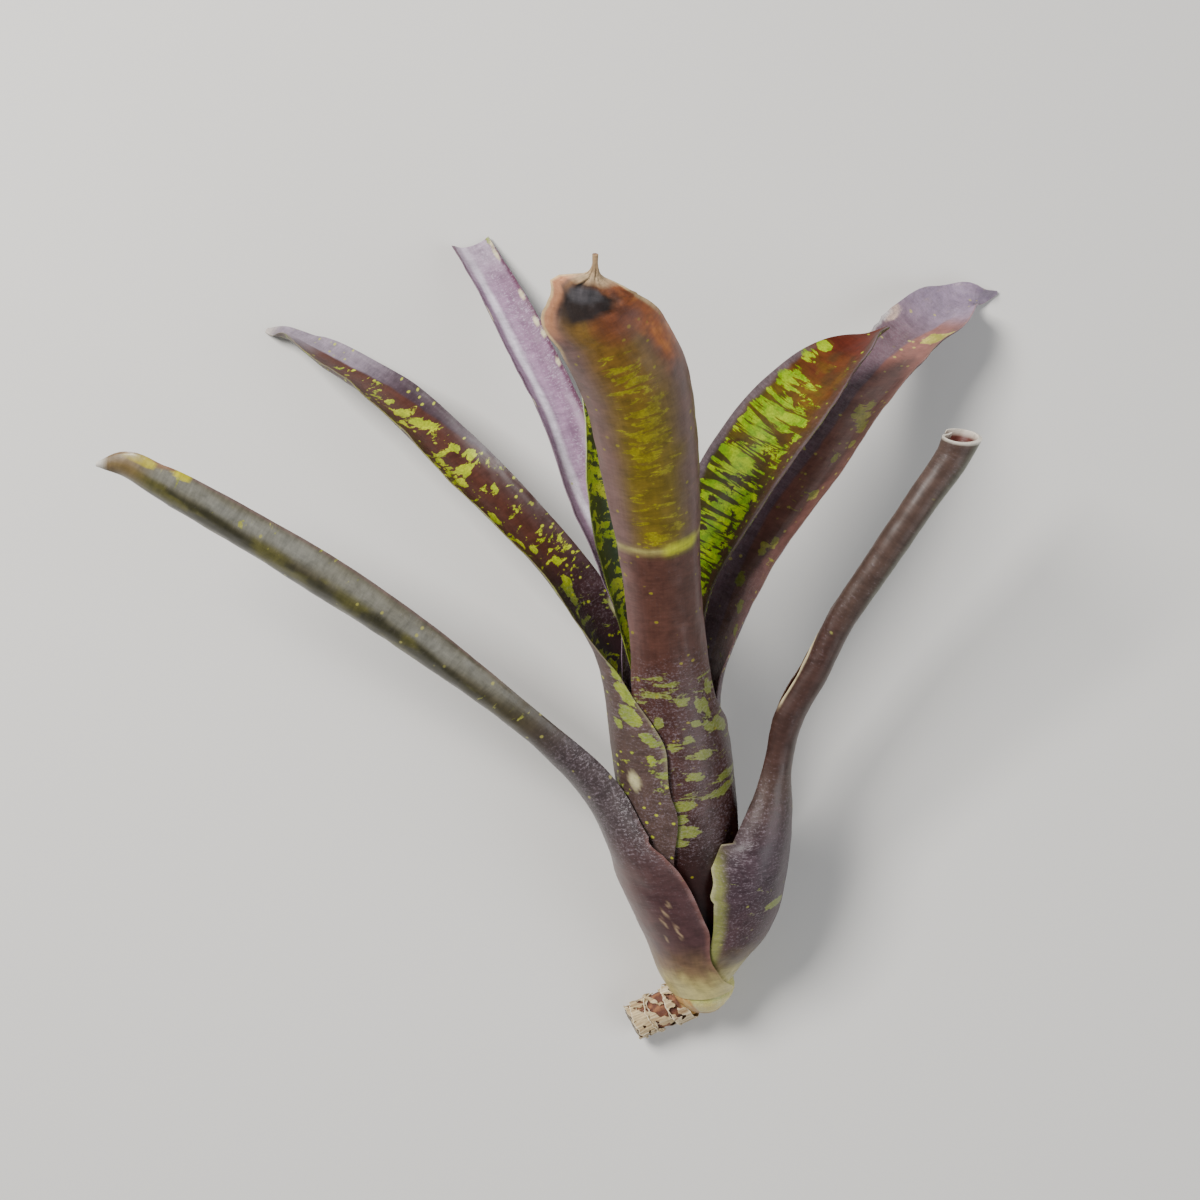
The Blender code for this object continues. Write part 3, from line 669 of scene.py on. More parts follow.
def paint_left(s, v, facing_in):
    if not facing_in:
        skin = Skin(s, v, (82, 64, 58))
        skin.scurf(0.58 + 0.3 * grain(s / 8, v * 3, 31))
        skin.lime((0.34 + 0.3 * grain(s / 5, v * 3, 32)) * smooth(24, 56, s))
        skin.spots(0.95, (76.5, -0.9, 3.4, 0.14), (71, -0.8, 2.6, 0.14), (80.5, -0.96, 1.8, 0.08),
                   (66, -0.86, 1.6, 0.08), (61, -0.85, 1.2, 0.05), (68.5, -0.62, 1.6, 0.08))
        skin.wash((150, 146, 110), 0.5 * smooth(-0.95, -0.995, v) * smooth(50, 60, s))
        skin.wash((196, 188, 140), 0.95 * skin.oval(55, -0.67, 2.6, 0.07))
        skin.wash((186, 174, 106), smooth(16, 6, s))
        return skin
    fold = crease(s, ((187, 0.17), (178, 0.3), (167, 0.45), (158, 0.46), (146, 0.65), (138, 0.78),
                      (125, 1.1)))
    far = smooth(-0.04, 0.06, v - fold + 0.05 * grain(s / 4, v * 2, 33))
    skin = Skin(s, v, (80, 44, 34))
    skin.wash((62, 42, 42), 0.75 * smooth(0.1, 0.8, v + 0.15 * grain(s / 7, v, 36)) * smooth(160, 130, s))
    skin.wash((58, 38, 42), 0.9 * between(s, 70, 94, 18))
    skin.wash((74, 56, 30), 0.6 * smooth(-0.5, -0.9, v))
    skin.wash((62, 46, 56), 0.92 * far)
    # The lilac on the far half towards the tip, and on the tip itself, is partly grey scale scurf and partly
    # painted sheen where the leaf turns up to the light
    skin.wash((146, 134, 148), 0.9 * far * smooth(158, 184, s))
    skin.wash((146, 134, 148), 0.85 * smooth(184, 197, s))
    skin.scurf(0.16 + 0.1 * grain(s / 6, v * 3, 34))
    skin.scurf(0.3 * smooth(0.2, 0.7, v) * smooth(160, 130, s))
    skin.scurf(0.62 * between(s, 66, 92, 20))
    skin.scurf((0.32 + 0.35 * smooth(160, 180, s)) * far)
    near = 1 - far
    skin.spots(0.92, (75.6, 0, 3.4, 0.26), (71, 0.2, 3.6, 0.24), (67, 0.1, 2.6, 0.2),
               (80, -0.3, 2.4, 0.2))
    skin.clear("scurf", 0.6 * between(s, 66, 82, 4) * smooth(-0.5, -0.2, v))
    skin.lime(near * (0.36 + 0.3 * grain(s / 5, v * 2.2, 35)) * between(s, 80, 176, 12))
    skin.lime(near * 0.44 * smooth(-0.62, -0.92, v) * between(s, 90, 165, 10))
    skin.spots(0.86, (155, -0.05, 1.6, 0.36), (151.3, 0.1, 1.6, 0.34), (148.6, 0.3, 1.4, 0.26),
               (151.5, -0.4, 1.8, 0.16), (160, 0, 1.4, 0.24), (133.6, 0.05, 1.9, 0.52),
               (131.6, -0.45, 2.6, 0.24), (136, 0.52, 1.8, 0.26), (139.6, 0.35, 1.4, 0.18),
               (126, 0.3, 1, 0.14), (109, -0.2, 1.6, 0.18), (104, 0.2, 1.8, 0.2),
               (96, -0.15, 3.6, 0.26), (99, 0.05, 2.4, 0.18), (120, -0.6, 2.6, 0.22),
               (112, -0.55, 2.2, 0.18))
    skin.clear("lime", 0.85 * far)
    skin.wash((200, 200, 140), 0.9 * skin.oval(88, 0.88, 3.2, 0.14))
    skin.wash((206, 196, 186), 0.8 * smooth(200, 204, s))
    return skin


def paint_front(s, v, facing_in):
    if facing_in:
        skin = Skin(s, v, (74, 44, 28))
        skin.lime((0.5 + 0.2 * grain(s / 7, v * 2, 41)) * between(s, 60, 165, 14))
        skin.scurf(0.2)
        skin.wash((110, 58, 30), smooth(158, 172, s))
        return skin
    skin = Skin(s, v, (82, 50, 40))
    middle = smooth(0.74, 0.18, np.abs(v - 0.06) + 0.14 * grain(s / 6, v * 2, 42))
    above = smooth(106, 112, s)
    skin.wash((104, 78, 70), 0.85 * above)
    skin.wash((108, 90, 8), 0.95 * middle * above)
    skin.wash((116, 72, 30), 0.5 * above * smooth(135, 160, s) * middle)
    skin.wash((112, 84, 80), 0.75 * smooth(0.4, 0.95, np.abs(v)) * smooth(70, 90, s))
    skin.wash((64, 36, 30), 0.85 * smooth(96, 62, s)
              * smooth(1, 0.5, np.abs(v) + 0.1 * grain(s / 9, v * 2, 48)))
    skin.wash((66, 42, 38), 0.6 * smooth(84, 64, s))
    skin.wash((40, 18, 16), 0.9 * smooth(46, 28, s))
    skin.scurf(0.2 + 0.12 * grain(s / 8, v * 3, 43))
    skin.scurf(0.62 * between(s, 36, 76, 14))
    skin.lime(middle * between(s, 111, 163, 4) * (0.48 + 0.24 * grain(s / 5, v * 1.4, 44)))
    bright = smooth(0.15, -0.15, v) * smooth(-0.8, -0.55, v)
    line = s - 108.6 - 0.25 * grain(v * 4, 0, 92)
    skin.wash((168, 158, 92), 0.85 * np.exp(-((line / 0.75) ** 2)))
    skin.wash((192, 196, 30), 1.4 * bright * np.exp(-((line / 1.15) ** 2)))
    skin.lime(0.42 * between(s, 44, 76, 6) * (0.85 + 0.6 * grain(s / 3, v * 1.6, 45)))
    skin.lime(0.4 * between(s, 56, 78, 6) * smooth(0.1, -0.5, v))
    skin.lime(0.2 * between(s, 76, 106, 4) * smooth(0.5, 0.9, np.abs(v)))
    skin.spots(0.86, (49.4, -0.62, 1.5, 0.34), (46.6, -0.4, 1.5, 0.36), (39, 0.05, 2, 0.18),
               (62, -0.73, 3, 0.18), (68, -0.6, 3.4, 0.12), (69, -0.45, 2.8, 0.1),
               (57, -0.25, 1.4, 0.14), (63, -0.5, 1.8, 0.14), (54, 0.3, 1.6, 0.12),
               (43, -0.8, 1.6, 0.14), (66, 0.35, 2, 0.12), (60, 0.1, 1.2, 0.16),
               (70.5, -0.15, 1.2, 0.2), (45.5, 0.05, 1.3, 0.2), (36.4, 0.15, 1.4, 0.14),
               (42, 0.1, 1.2, 0.12), (72, -0.8, 2.4, 0.14), (65, -0.3, 1.2, 0.12),
               (61, -0.1, 1.2, 0.12), (52, -0.1, 1.2, 0.14))
    skin.wash((104, 44, 24), 0.8 * skin.oval(166.5, -0.25, 6.5, 0.5))
    burnt = between(s, 154, 176, 6) * smooth(-0.42, -0.76, v + 0.22 * grain(s / 3, v * 4, 46))
    skin.wash((150, 78, 26), 0.9 * burnt)
    skin.wash((186, 112, 48), 0.8 * burnt * smooth(0, 0.5, grain(s / 2, v * 6, 49)))
    skin.wash((184, 126, 88), 0.9 * smooth(165, 169, s)
              * smooth(0.62, 0.8, v + 0.1 * grain(s / 3, v * 4, 47)))
    skin.wash((118, 62, 30), 0.8 * smooth(170, 175, s) * smooth(0.7, 0.3, v))
    patch = blob(s, v, (172.2, 0.14), (4.8, 0.66)) + 0.22 * grain(s / 1.3, v * 6, 50)
    skin.wash((28, 19, 20), 0.96 * smooth(0.05, 0.55, patch))
    # Painted highlight: a grey top on the dark dead patch
    patch_highlight = blob(s, v, (173.8, 0.14), (2.2, 0.55)) + 0.25 * grain(s, v * 8, 93)
    skin.wash((88, 86, 90), 0.55 * smooth(0.1, 0.7, patch_highlight))
    skin.wash((208, 180, 132), 0.85 * smooth(0.88, 0.96, np.abs(v)) * smooth(157, 165, s))
    skin.wash((204, 178, 140), 0.85 * smooth(175.5, 177.5, s))
    skin.wash((178, 146, 108), smooth(177.5, 180.5, s))
    skin.dry(smooth(158, 170, s))
    skin.clear("lime", smooth(158, 166, s))
    return skin


def paint_right(s, v, facing_in):
    if not facing_in:
        skin = Skin(s, v, (70, 48, 54))
        skin.scurf(0.54 + 0.2 * grain(s / 8, v * 3, 51))
        skin.lime((0.32 + 0.2 * grain(s / 7, v * 2, 52)) * smooth(172, 160, s))
        # Lilac towards the tip: partly grey scale scurf, partly painted sheen where the tip turns to the
        # light
        skin.wash((160, 142, 166), smooth(166, 178, s))
        return skin
    fold = crease(s, ((186, 1.1), (180, 0.4), (176, 0.22), (170, 0.02), (164, -0.12), (156, -0.22),
                      (142, -0.28),
                      (110, -0.3)))
    far = smooth(0.04, -0.05, v - fold + 0.05 * grain(s / 4, v * 2, 53))
    # Painted light: the base colour, the sheath colour and the far half's colour are lighter than the leaf's
    # own, to lift the shade that the lime leaf casts into this channel
    skin = Skin(s, v, (150, 100, 90))
    skin.wash((128, 92, 84), 0.6 * smooth(0.5, 0.9, v))
    skin.wash((116, 86, 84), 0.85 * smooth(112, 88, s))
    skin.wash((116, 92, 104), 0.92 * far)
    # Lilac on the far half towards the tip: partly grey scale scurf, partly painted sheen of light on the
    # turned-up half
    skin.wash((160, 142, 166), 0.9 * smooth(164, 180, s) * np.maximum(far, smooth(172, 180, s)))
    skin.wash((166, 128, 118), 0.8 * smooth(0.93, 0.99, v) * smooth(120, 150, s))
    skin.scurf(0.15)
    skin.scurf(0.75 * far)
    skin.scurf(0.6 * smooth(112, 86, s))
    skin.lime(0.36 * (1 - far) * (0.6 + 0.8 * grain(s / 6, v * 2, 54)) * smooth(160, 140, s))
    skin.lime(0.95 * between(s, 166, 170, 1.2) * between(v, 0.2, 0.9, 0.1))
    skin.spots(0.8, (138.5, 0.1, 3.2, 0.24), (136, 0.38, 3.4, 0.26), (133, 0.58, 2.8, 0.2),
               (141, 0.3, 2.2, 0.18), (113.4, 0.5, 2.6, 0.22), (98, 0.1, 2.6, 0.24),
               (100, 0.3, 2, 0.18), (84, 0.2, 2.2, 0.22), (124, 0.3, 1.6, 0.14), (128, 0.6, 1.6, 0.14),
               (89, -0.2, 2, 0.2), (79, 0.5, 2, 0.22))
    skin.wash((206, 178, 162), 0.95
              * smooth(0.1, 0.5, blob(s, v, (168.5, -0.93), (3.2, 0.18)) + 0.3 * grain(s, v * 9, 55)))
    skin.wash((222, 216, 216), 0.9 * between(s, 154, 168, 1.5)
              * smooth(-0.9, -0.97, v + 0.05 * grain(s, v, 56)))
    skin.dry(skin.oval(168.5, -0.92, 4, 0.3))
    return skin


def paint_back(s, v, facing_in):
    if not facing_in:
        skin = Skin(s, v, (90, 66, 82))
        skin.scurf(0.75 + 0.2 * grain(s / 8, v * 3, 61))
        skin.lime(0.15)
        return skin
    skin = Skin(s, v, (156, 126, 152))
    # Painted highlight: a pale streak left of the middle; painted shade: the other half darker, as light
    # falls across a channel
    skin.wash((236, 226, 240), 0.9 * smooth(0.3, 0.04, np.abs(v + 0.34 + 0.08 * grain(s / 10, v * 2, 62))))
    skin.wash((112, 76, 104), 0.85 * smooth(0, 0.55, v + 0.1 * grain(s / 6, v * 3, 65)))
    skin.wash((172, 156, 172), 0.7 * smooth(168, 180, s))
    skin.wash((84, 44, 64), 0.9 * smooth(0.76, 0.95, np.abs(v) + 0.05 * grain(s / 5, v * 3, 63)))
    skin.wash((92, 62, 78), 0.8 * smooth(108, 92, s))
    skin.scurf(0.55 + 0.2 * grain(s / 10, v * 4, 64))
    skin.scurf(0.8 * smooth(110, 90, s))
    nicks = ((177.5, 0.87, 2.2), (164, 0.88, 1.6), (155.7, 0.86, 1.6), (151.8, 0.9, 1.3),
             (160, -0.96, 2.4), (182, 0.95, 3), (143, 0.9, 1.2), (133, -0.93, 1.6))
    for at_s, at_v, long in nicks:
        skin.wash((214, 204, 160), 0.95 * skin.oval(at_s, at_v, long, 0.1))
    skin.lime(0.6 * skin.oval(182, 0.9, 3, 0.2))
    return skin


def paint_inner_right(s, v, facing_in):
    if not facing_in:
        skin = Skin(s, v, (76, 52, 48))
        skin.scurf(0.5 + 0.2 * grain(s / 8, v * 3, 71))
        skin.lime(0.5 + 0.2 * grain(s / 7, v * 2, 72))
        return skin
    skin = Skin(s, v, (58, 44, 18))
    skin.wash((92, 36, 22), smooth(122, 142, s + 6 * v))
    skin.wash((54, 36, 26), 0.7 * smooth(0, 0.4, grain(s / 5, v * 2.6, 96) + 0.5 * v) * smooth(122, 142, s))
    skin.wash((120, 86, 16), 0.55 * between(s, 116, 142, 8) * (0.6 + 0.6 * grain(s / 4, v * 2, 75)))
    skin.wash((86, 56, 46), 0.85 * smooth(0.34, 0.6, v + 0.16 * grain(s / 3, v * 2, 73)))
    skin.wash((104, 88, 98), 0.8 * smooth(0.72, 0.92, v))
    frost = smooth(-0.8, -0.92, v + 0.05 * grain(s / 2, v * 5, 94)) * between(s, 96, 140, 8)
    skin.wash((112, 96, 102), 0.85 * frost)
    skin.lime((0.7 + 0.22 * grain(s / 8, v * 1.6, 74)) * smooth(154, 120, s + 6 * v) * smooth(0.72, 0.38, v))
    skin.lime(0.34 * smooth(158, 140, s))
    skin.lime(0.42 * between(v, 0.35, 0.8, 0.1) * between(s, 90, 150, 8)
              * (0.9 + 0.5 * grain(s / 3, v * 3, 95)))
    skin.clear("lime", 0.85 * frost)
    skin.scurf(0.7 * frost)
    skin.spots(0.95, (146.4, -0.8, 2.4, 0.26), (142.2, -0.8, 2.2, 0.24), (127, -0.43, 4.6, 0.4),
               (112.6, -0.38, 3.6, 0.46), (98.9, -0.14, 4, 0.44), (120, -0.5, 3, 0.36),
               (135, -0.7, 2.6, 0.3), (106, -0.6, 2.6, 0.3))
    skin.scurf(0.1 + 0.45 * smooth(0.4, 0.8, v))
    skin.scurf(0.5 * smooth(96, 80, s))
    return skin


def paint_inner_back(s, v, facing_in):
    skin = Skin(s, v, (58, 62, 20))
    skin.lime(0.48 + 0.25 * grain(s / 6, v * 2, 81))
    skin.wash((186, 184, 170), 0.8 * smooth(-0.9, -0.98, v) * smooth(104, 116, s))
    skin.wash((66, 84, 66), 0.6 * smooth(-0.5, 0, v))
    skin.scurf(0.3 + 0.2 * smooth(-0.8, -0.95, v))
    return skin


def paint_heart(s, v, facing_in):
    skin = Skin(s, v, (92, 100, 44))
    skin.lime(0.4 + 0.2 * grain(s / 5, v * 2, 91))
    skin.scurf(0.35)
    return skin


# Shapes of single leaves
TUBE_RIGHT = np.array((0.83, -0.56, 0.0))


def shape_front(spine, s, v):
    """The dried tip is wrinkled, with two bumps on its left shoulder and a thin spike."""
    across, slide, lift = flat_shape(spine, s, v)
    dry = smooth(160, 170, s) * smooth(182, 177, s)
    inside = 1 - 0.85 * smooth(0.7, 1, np.abs(v))
    lift = lift + dry * inside * (0.5 * grain(s / 2.6, v * 4, 101) + 0.32 * grain(s / 1.2, v * 9, 102))
    shoulder = 0.22 * np.exp(-(((s - 175) / 1.1) ** 2)) + 0.24 * np.exp(-(((s - 168.6) / 2.2) ** 2))
    across = across * (1 - 0.15 * np.exp(-(((s - 167.5) / 4.5) ** 2)) * smooth(-0.2, -0.9, v))
    across = across + (shoulder + 0.04 * dry * grain(s / 1.4, 0, 103)) * smooth(0.2, 0.95, v)
    slide = slide + dry * inside * 0.4 * grain(s / 3, v * 5, 104)
    return across, slide, lift


def shape_left(spine, s, v):
    """The sheath's front edge laps over the front leaf where the blade leaves it."""
    across, slide, lift = flat_shape(spine, s, v)
    across = across - 0.6 * smooth(50, 74, s) * smooth(91, 79, s) * smooth(-0.2, -1, v)
    return across, slide, lift


def shape_right(spine, s, v):
    """Lumps of dead tissue stand on the upper edge near the tip."""
    across, slide, lift = flat_shape(spine, s, v)
    crust = np.sqrt(blob(s, v, (168.5, -0.97), (3.2, 0.2)))
    lift = lift - crust * (0.35 + 0.45 * grain(s / 1.1, v * 9, 111))
    torn = 0.05 * between(s, 155, 166, 1.5) * grain(s / 0.9, 0, 112) * smooth(-0.5, -1, v)
    across = across - torn
    across = across * (1 - 0.68 * np.exp(-(((s - 188) / 2.8) ** 2)) * smooth(0, 0.4, v))
    return across, slide, lift


def shape_outer_left(spine, s, v):
    """The sheath's front edge laps further round, and its edges are slightly ragged."""
    across, slide, lift = flat_shape(spine, s, v)
    across = across - 0.24 * between(s, 22, 38, 12) * smooth(0, -1, v)
    across = across + 0.06 * between(s, 44.5, 46, 0.8) * smooth(-0.6, -1, v)
    ragged = smooth(0.9, 1, np.abs(v)) * between(s, 12, 56, 6)
    lift = lift + 0.25 * ragged * grain(s / 2.4, v * 2, 121)
    return across, slide, lift


def shape_outer_right(spine, s, v):
    """A tube whose seam is turned under it, with a torn flap on its sheath and a skewed cut at its end."""
    across, slide, lift = flat_shape(spine, s, v)
    flap = smooth(34, 42, s) * smooth(44, 43.2, s) * smooth(0.4, 1, v)
    across = across + 0.2 * flap - 0.06 * smooth(31.2, 30.6, s) * smooth(10, 24, s) * smooth(0.4, 1, v)
    lift = lift - 0.5 * flap
    across = across * (1 + 0.14 * smooth(84, 100, s)) + 0.26 * smooth(84, 104, s)
    turn = spine.wrap[:, None] * across
    height, aside = (
        spine.curl[:, None] * ((spine.side @ way)[:, None] * np.sin(turn)
                               - (spine.facing @ way)[:, None] * np.cos(turn))
        for way in (UP, TUBE_RIGHT)
    )
    slide = slide + smooth(134, 145, s) * (0.34 * aside - 0.24 * height - 0.9)
    lift = (lift + 0.9 * smooth(0.55, 1, v) * smooth(84, 104, s)
            + 0.7 * smooth(0.6, 1, v) * smooth(120, 140, s))
    return across, slide, lift


LEAVES = {
    "leaf_outer_left": (paint_outer_left, shape_outer_left, {
        "rough": 0.33, "specular": 0.6, "speckle": 0.25, "lime": (120, 124, 40), "pale": (150, 146, 70)}),
    "leaf_outer_right": (paint_outer_right, shape_outer_right, {
        "rough": 0.38, "speckle": 0.1, "lime": (112, 118, 44), "pale": (140, 140, 70)}),
    "leaf_left": (paint_left, shape_left, {
        "specular": 0.3, "speckle": 1.3, "bars": (0.56, 0.24), "lime": (146, 162, 12),
        "pale": (186, 196, 24)}),
    "leaf_front": (paint_front, shape_front, {
        "rough": 0.36, "speckle": 0.6, "bars": (0.62, 0.16), "lime": (112, 100, 8), "pale": (138, 130, 20)}),
    "leaf_right": (paint_right, shape_right, {
        "rough": 0.38, "speckle": 0.9, "bars": (0.7, 0.3), "lime": (166, 164, 56), "pale": (204, 196, 96)}),
    "leaf_back": (paint_back, flat_shape, {
        "rough": 0.4, "speckle": 0.05, "scurf": (200, 188, 206), "tone": 0.98}),
    "leaf_inner_right": (paint_inner_right, flat_shape, {
        "rough": 0.52, "specular": 0.16, "speckle": 0.3, "bars": (0.34, 0.17), "lime": (112, 152, 0),
        "pale": (160, 186, 0), "streaks": 0.95}),
    "leaf_inner_back": (paint_inner_back, flat_shape, {"rough": 0.4, "bars": (0.5, 0.25)}),
    "leaf_heart": (paint_heart, flat_shape, {}),
}

for seed, (leaf_name, (paint, shape, looks)) in enumerate(LEAVES.items(), 1):
    midrib = HEART_MIDRIB_THICKNESS if leaf_name == "leaf_heart" else MIDRIB_THICKNESS
    leaf = build_leaf(leaf_name, paint, shape, seed, midrib)
    leaf.data.materials.append(leaf_material(leaf_name + "_skin", **looks))
    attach(leaf, "root")
    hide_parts(leaf_name)


# Crown, runner and papery bracts
RUNNER_START = np.array((26.0, -93.0, 9.6))
RUNNER_END = np.array((6.5, -103.2, 4.9))
RUNNER_WAY = unit(RUNNER_END - RUNNER_START)
RUNNER_SIDE = unit(np.cross(UP, RUNNER_WAY))
RUNNER_UP = np.cross(RUNNER_WAY, RUNNER_SIDE)
RUNNER_LENGTH = float(np.linalg.norm(RUNNER_END - RUNNER_START))
CROWN_PROFILE = (
    (-6.8, 0.0), (-6.4, 2.4), (-5.2, 4.5), (-3.5, 6.2), (-1.6, 7.5), (0.0, 8.0), (1.4, 7.75),
    (2.6, 6.9), (3.6, 6.1), (5.0, 5.1), (7.0, 3.6), (9.0, 2.6), (12.0, 1.6), (15.0, 0.8), (15.8, 0.0),
)
STEM_GRID = 0.28
TUBE_STEPS = 64
CROWN_ROWS = 90
RUNNER_ROWS = 60

# The runner's cut leans back by a slope, from a place below the runner's middle
CUT_SLANT = 0.38
CUT_BELOW = 4.0

# A bract's grid, the radius of the ring that its noise is taken on, and its thickness
SLEEVE_ROWS = 64
SLEEVE_STEPS = 190
SLEEVE_RING = 2.2
PAPER_THICKNESS = 0.16


def tube(places, radii, way, across, up):
    """Points and faces of a closed tube round a straight line, from places and radii along it."""
    turns = np.linspace(0, 2 * math.pi, TUBE_STEPS, endpoint=False)
    rim = across * np.cos(turns)[:, None] + up * np.sin(turns)[:, None]
    points = places[:, None, None] * way + radii[:, None, None] * rim
    index = np.arange(len(places) * TUBE_STEPS).reshape(-1, TUBE_STEPS)
    index = np.column_stack([index, index[:, 0]])
    faces = np.stack([index[:-1, :-1], index[:-1, 1:], index[1:, 1:], index[1:, :-1]], -1)
    faces = faces.reshape(-1, 4).tolist()
    faces.append(index[0, :-1][::-1].tolist())
    faces.append(index[-1, :-1].tolist())
    return points.reshape(-1, 3), faces


def joined(parts):
    """One closed skin round several closed solids, as points and quads."""
    solid = bpy.data.meshes.new("stem_solid")
    points, faces, count = [], [], 0
    for part_points, part_faces in parts:
        points += part_points.tolist()
        faces += [[k + count for k in face] for face in part_faces]
        count += len(part_points)
    solid.from_pydata(points, [], faces)
    holder = bpy.data.objects.new("stem_solid", solid)
    bpy.context.scene.collection.objects.link(holder)
    skin = holder.modifiers.new("skin", "REMESH")
    skin.mode = "VOXEL"
    skin.voxel_size = STEM_GRID
    relax = holder.modifiers.new("relax", "SMOOTH")
    relax.iterations = 4
    evaluated = holder.evaluated_get(bpy.context.evaluated_depsgraph_get())
    made = bpy.data.meshes.new_from_object(evaluated)
    points = np.array([vertex.co[:] for vertex in made.vertices])
    faces = np.array([(list(face.vertices) * 2)[:4] for face in made.polygons])
    bpy.data.objects.remove(holder)
    return points, faces


def cut_plane(up):
    """How far along the runner its slanted cut lies, for a height over the runner's middle."""
    return RUNNER_LENGTH - CUT_SLANT * (up + CUT_BELOW)


def build_stem():
    """The pale swelling under the leaves and the cut runner, one skin."""
    heights, radii = (np.array(column) for column in zip(*CROWN_PROFILE))
    dense = np.linspace(heights[0], heights[-1], CROWN_ROWS)
    round_radii = np.maximum(np.interp(dense, heights, radii), 0.02)
    crown, crown_faces = tube(dense, round_radii, AXIS, RIGHT, FRONT)
    flatter = 0.09 * smooth(3.5, 1.5, crown @ AXIS) + 0.12 * smooth(-1.0, -5.0, crown @ AXIS)
    crown = crown - RIGHT * (flatter * np.maximum(crown @ RIGHT, 0.0))[:, None]
    places = np.linspace(0.0, RUNNER_LENGTH, RUNNER_ROWS)
    widths = np.interp(places, (0, 6, 9, 14, RUNNER_LENGTH), (4.0, 4.3, 4.25, 4.1, 3.9))
    widths = widths - 0.1 * between(places % 4.6, 2.0, 2.6, 0.4)
    runner, runner_faces = tube(places, widths, RUNNER_WAY, RUNNER_SIDE, RUNNER_UP)
    slant = CUT_SLANT * (runner @ RUNNER_UP + CUT_BELOW) * smooth(9.0, RUNNER_LENGTH, runner @ RUNNER_WAY)
    runner -= RUNNER_WAY * slant[:, None]
    points, faces = joined(((crown + BASE, crown_faces), (runner + RUNNER_START, runner_faces)))

    out = points - RUNNER_START
    along = out @ RUNNER_WAY
    turn = np.arctan2(out @ RUNNER_UP, out @ RUNNER_SIDE)
    radius = np.linalg.norm(out - along[:, None] * RUNNER_WAY, axis=1)
    height = (points - BASE) @ AXIS
    far = np.linalg.norm((points - BASE) - height[:, None] * AXIS, axis=1)
    on_runner = smooth(5.2, 7.0, along)
    cut = smooth(-0.45, -0.2, along - cut_plane(out @ RUNNER_UP))

    # Shallow wrinkles on the runner, a rough cut end and faint furrows down the swelling
    rough = grain(turn * 3.2, along * 0.7, 201)
    push = on_runner * (1 - cut) * (0.14 * rough - 0.08 * smooth(0.2, 0.8, grain(turn * 5, along * 1.6, 202)))
    points = points + (out - along[:, None] * RUNNER_WAY) / np.maximum(radius, 0.5)[:, None] * push[:, None]
    sunk = 0.35 * grain(out @ RUNNER_SIDE * 0.9, out @ RUNNER_UP * 0.5, 203) - 0.3 * smooth(1.4, 0.0, radius)
    points = points + RUNNER_WAY * (cut * sunk)[:, None]
    swell = (1 - on_runner) * smooth(2.0, 0.0, height)
    lean = np.arctan2((points - BASE) @ FRONT, (points - BASE) @ RIGHT)
    points = points + unit(points - BASE) * (swell * 0.1 * grain(lean * 5, height * 0.25, 204))[:, None]

    tint = mix(rgb(196, 180, 112), rgb(206, 196, 140), smooth(-0.4, 0.6, grain(lean * 5, height * 0.5, 205)))
    tint = mix(tint, rgb(160, 168, 84), 0.6 * smooth(-1.5, 0.5, height) * smooth(6.0, 7.4, far))
    seam = height + 0.3 * grain(lean * 3, 0, 206)
    tint = mix(tint, rgb(150, 104, 58), 0.8 * between(seam, -4.9, -4.5, 0.3))
    bark = mix(rgb(96, 54, 38), rgb(140, 92, 60), smooth(-0.15, 0.5, rough))
    bark = mix(bark, rgb(48, 28, 24), smooth(0.2, 0.7, grain(turn * 4, along * 1.1, 207)))
    gold = mix(rgb(178, 132, 70), rgb(206, 176, 112), smooth(-0.3, 0.4, grain(turn * 4, along * 2, 210)))
    edge = along + 0.3 * grain(turn * 2, 0, 211)
    tint = mix(tint, gold, smooth(2.6, 3.4, edge))
    tint = mix(tint, rgb(112, 70, 38), 0.85 * between(edge, 2.7, 3.0, 0.25) * smooth(7.0, 6.2, radius))
    tint = mix(tint, bark, smooth(6.2, 7.4, along + 0.5 * grain(turn * 2, 0, 208)))
    pith = smooth(-0.1, 0.4, grain(out @ RUNNER_SIDE * 1.6, out @ RUNNER_UP * 0.5, 209))
    wood = mix(rgb(150, 138, 120), rgb(92, 78, 66), pith)
    wood = mix(wood, rgb(70, 52, 42), smooth(3.1, 3.7, radius))
    tint = mix(tint, wood, cut)
    marks = np.stack([on_runner] * 3, -1)
    return mesh_object("stem_fine", points, faces, {"tint": tint, "marks": marks, "place": points}, 70.0)


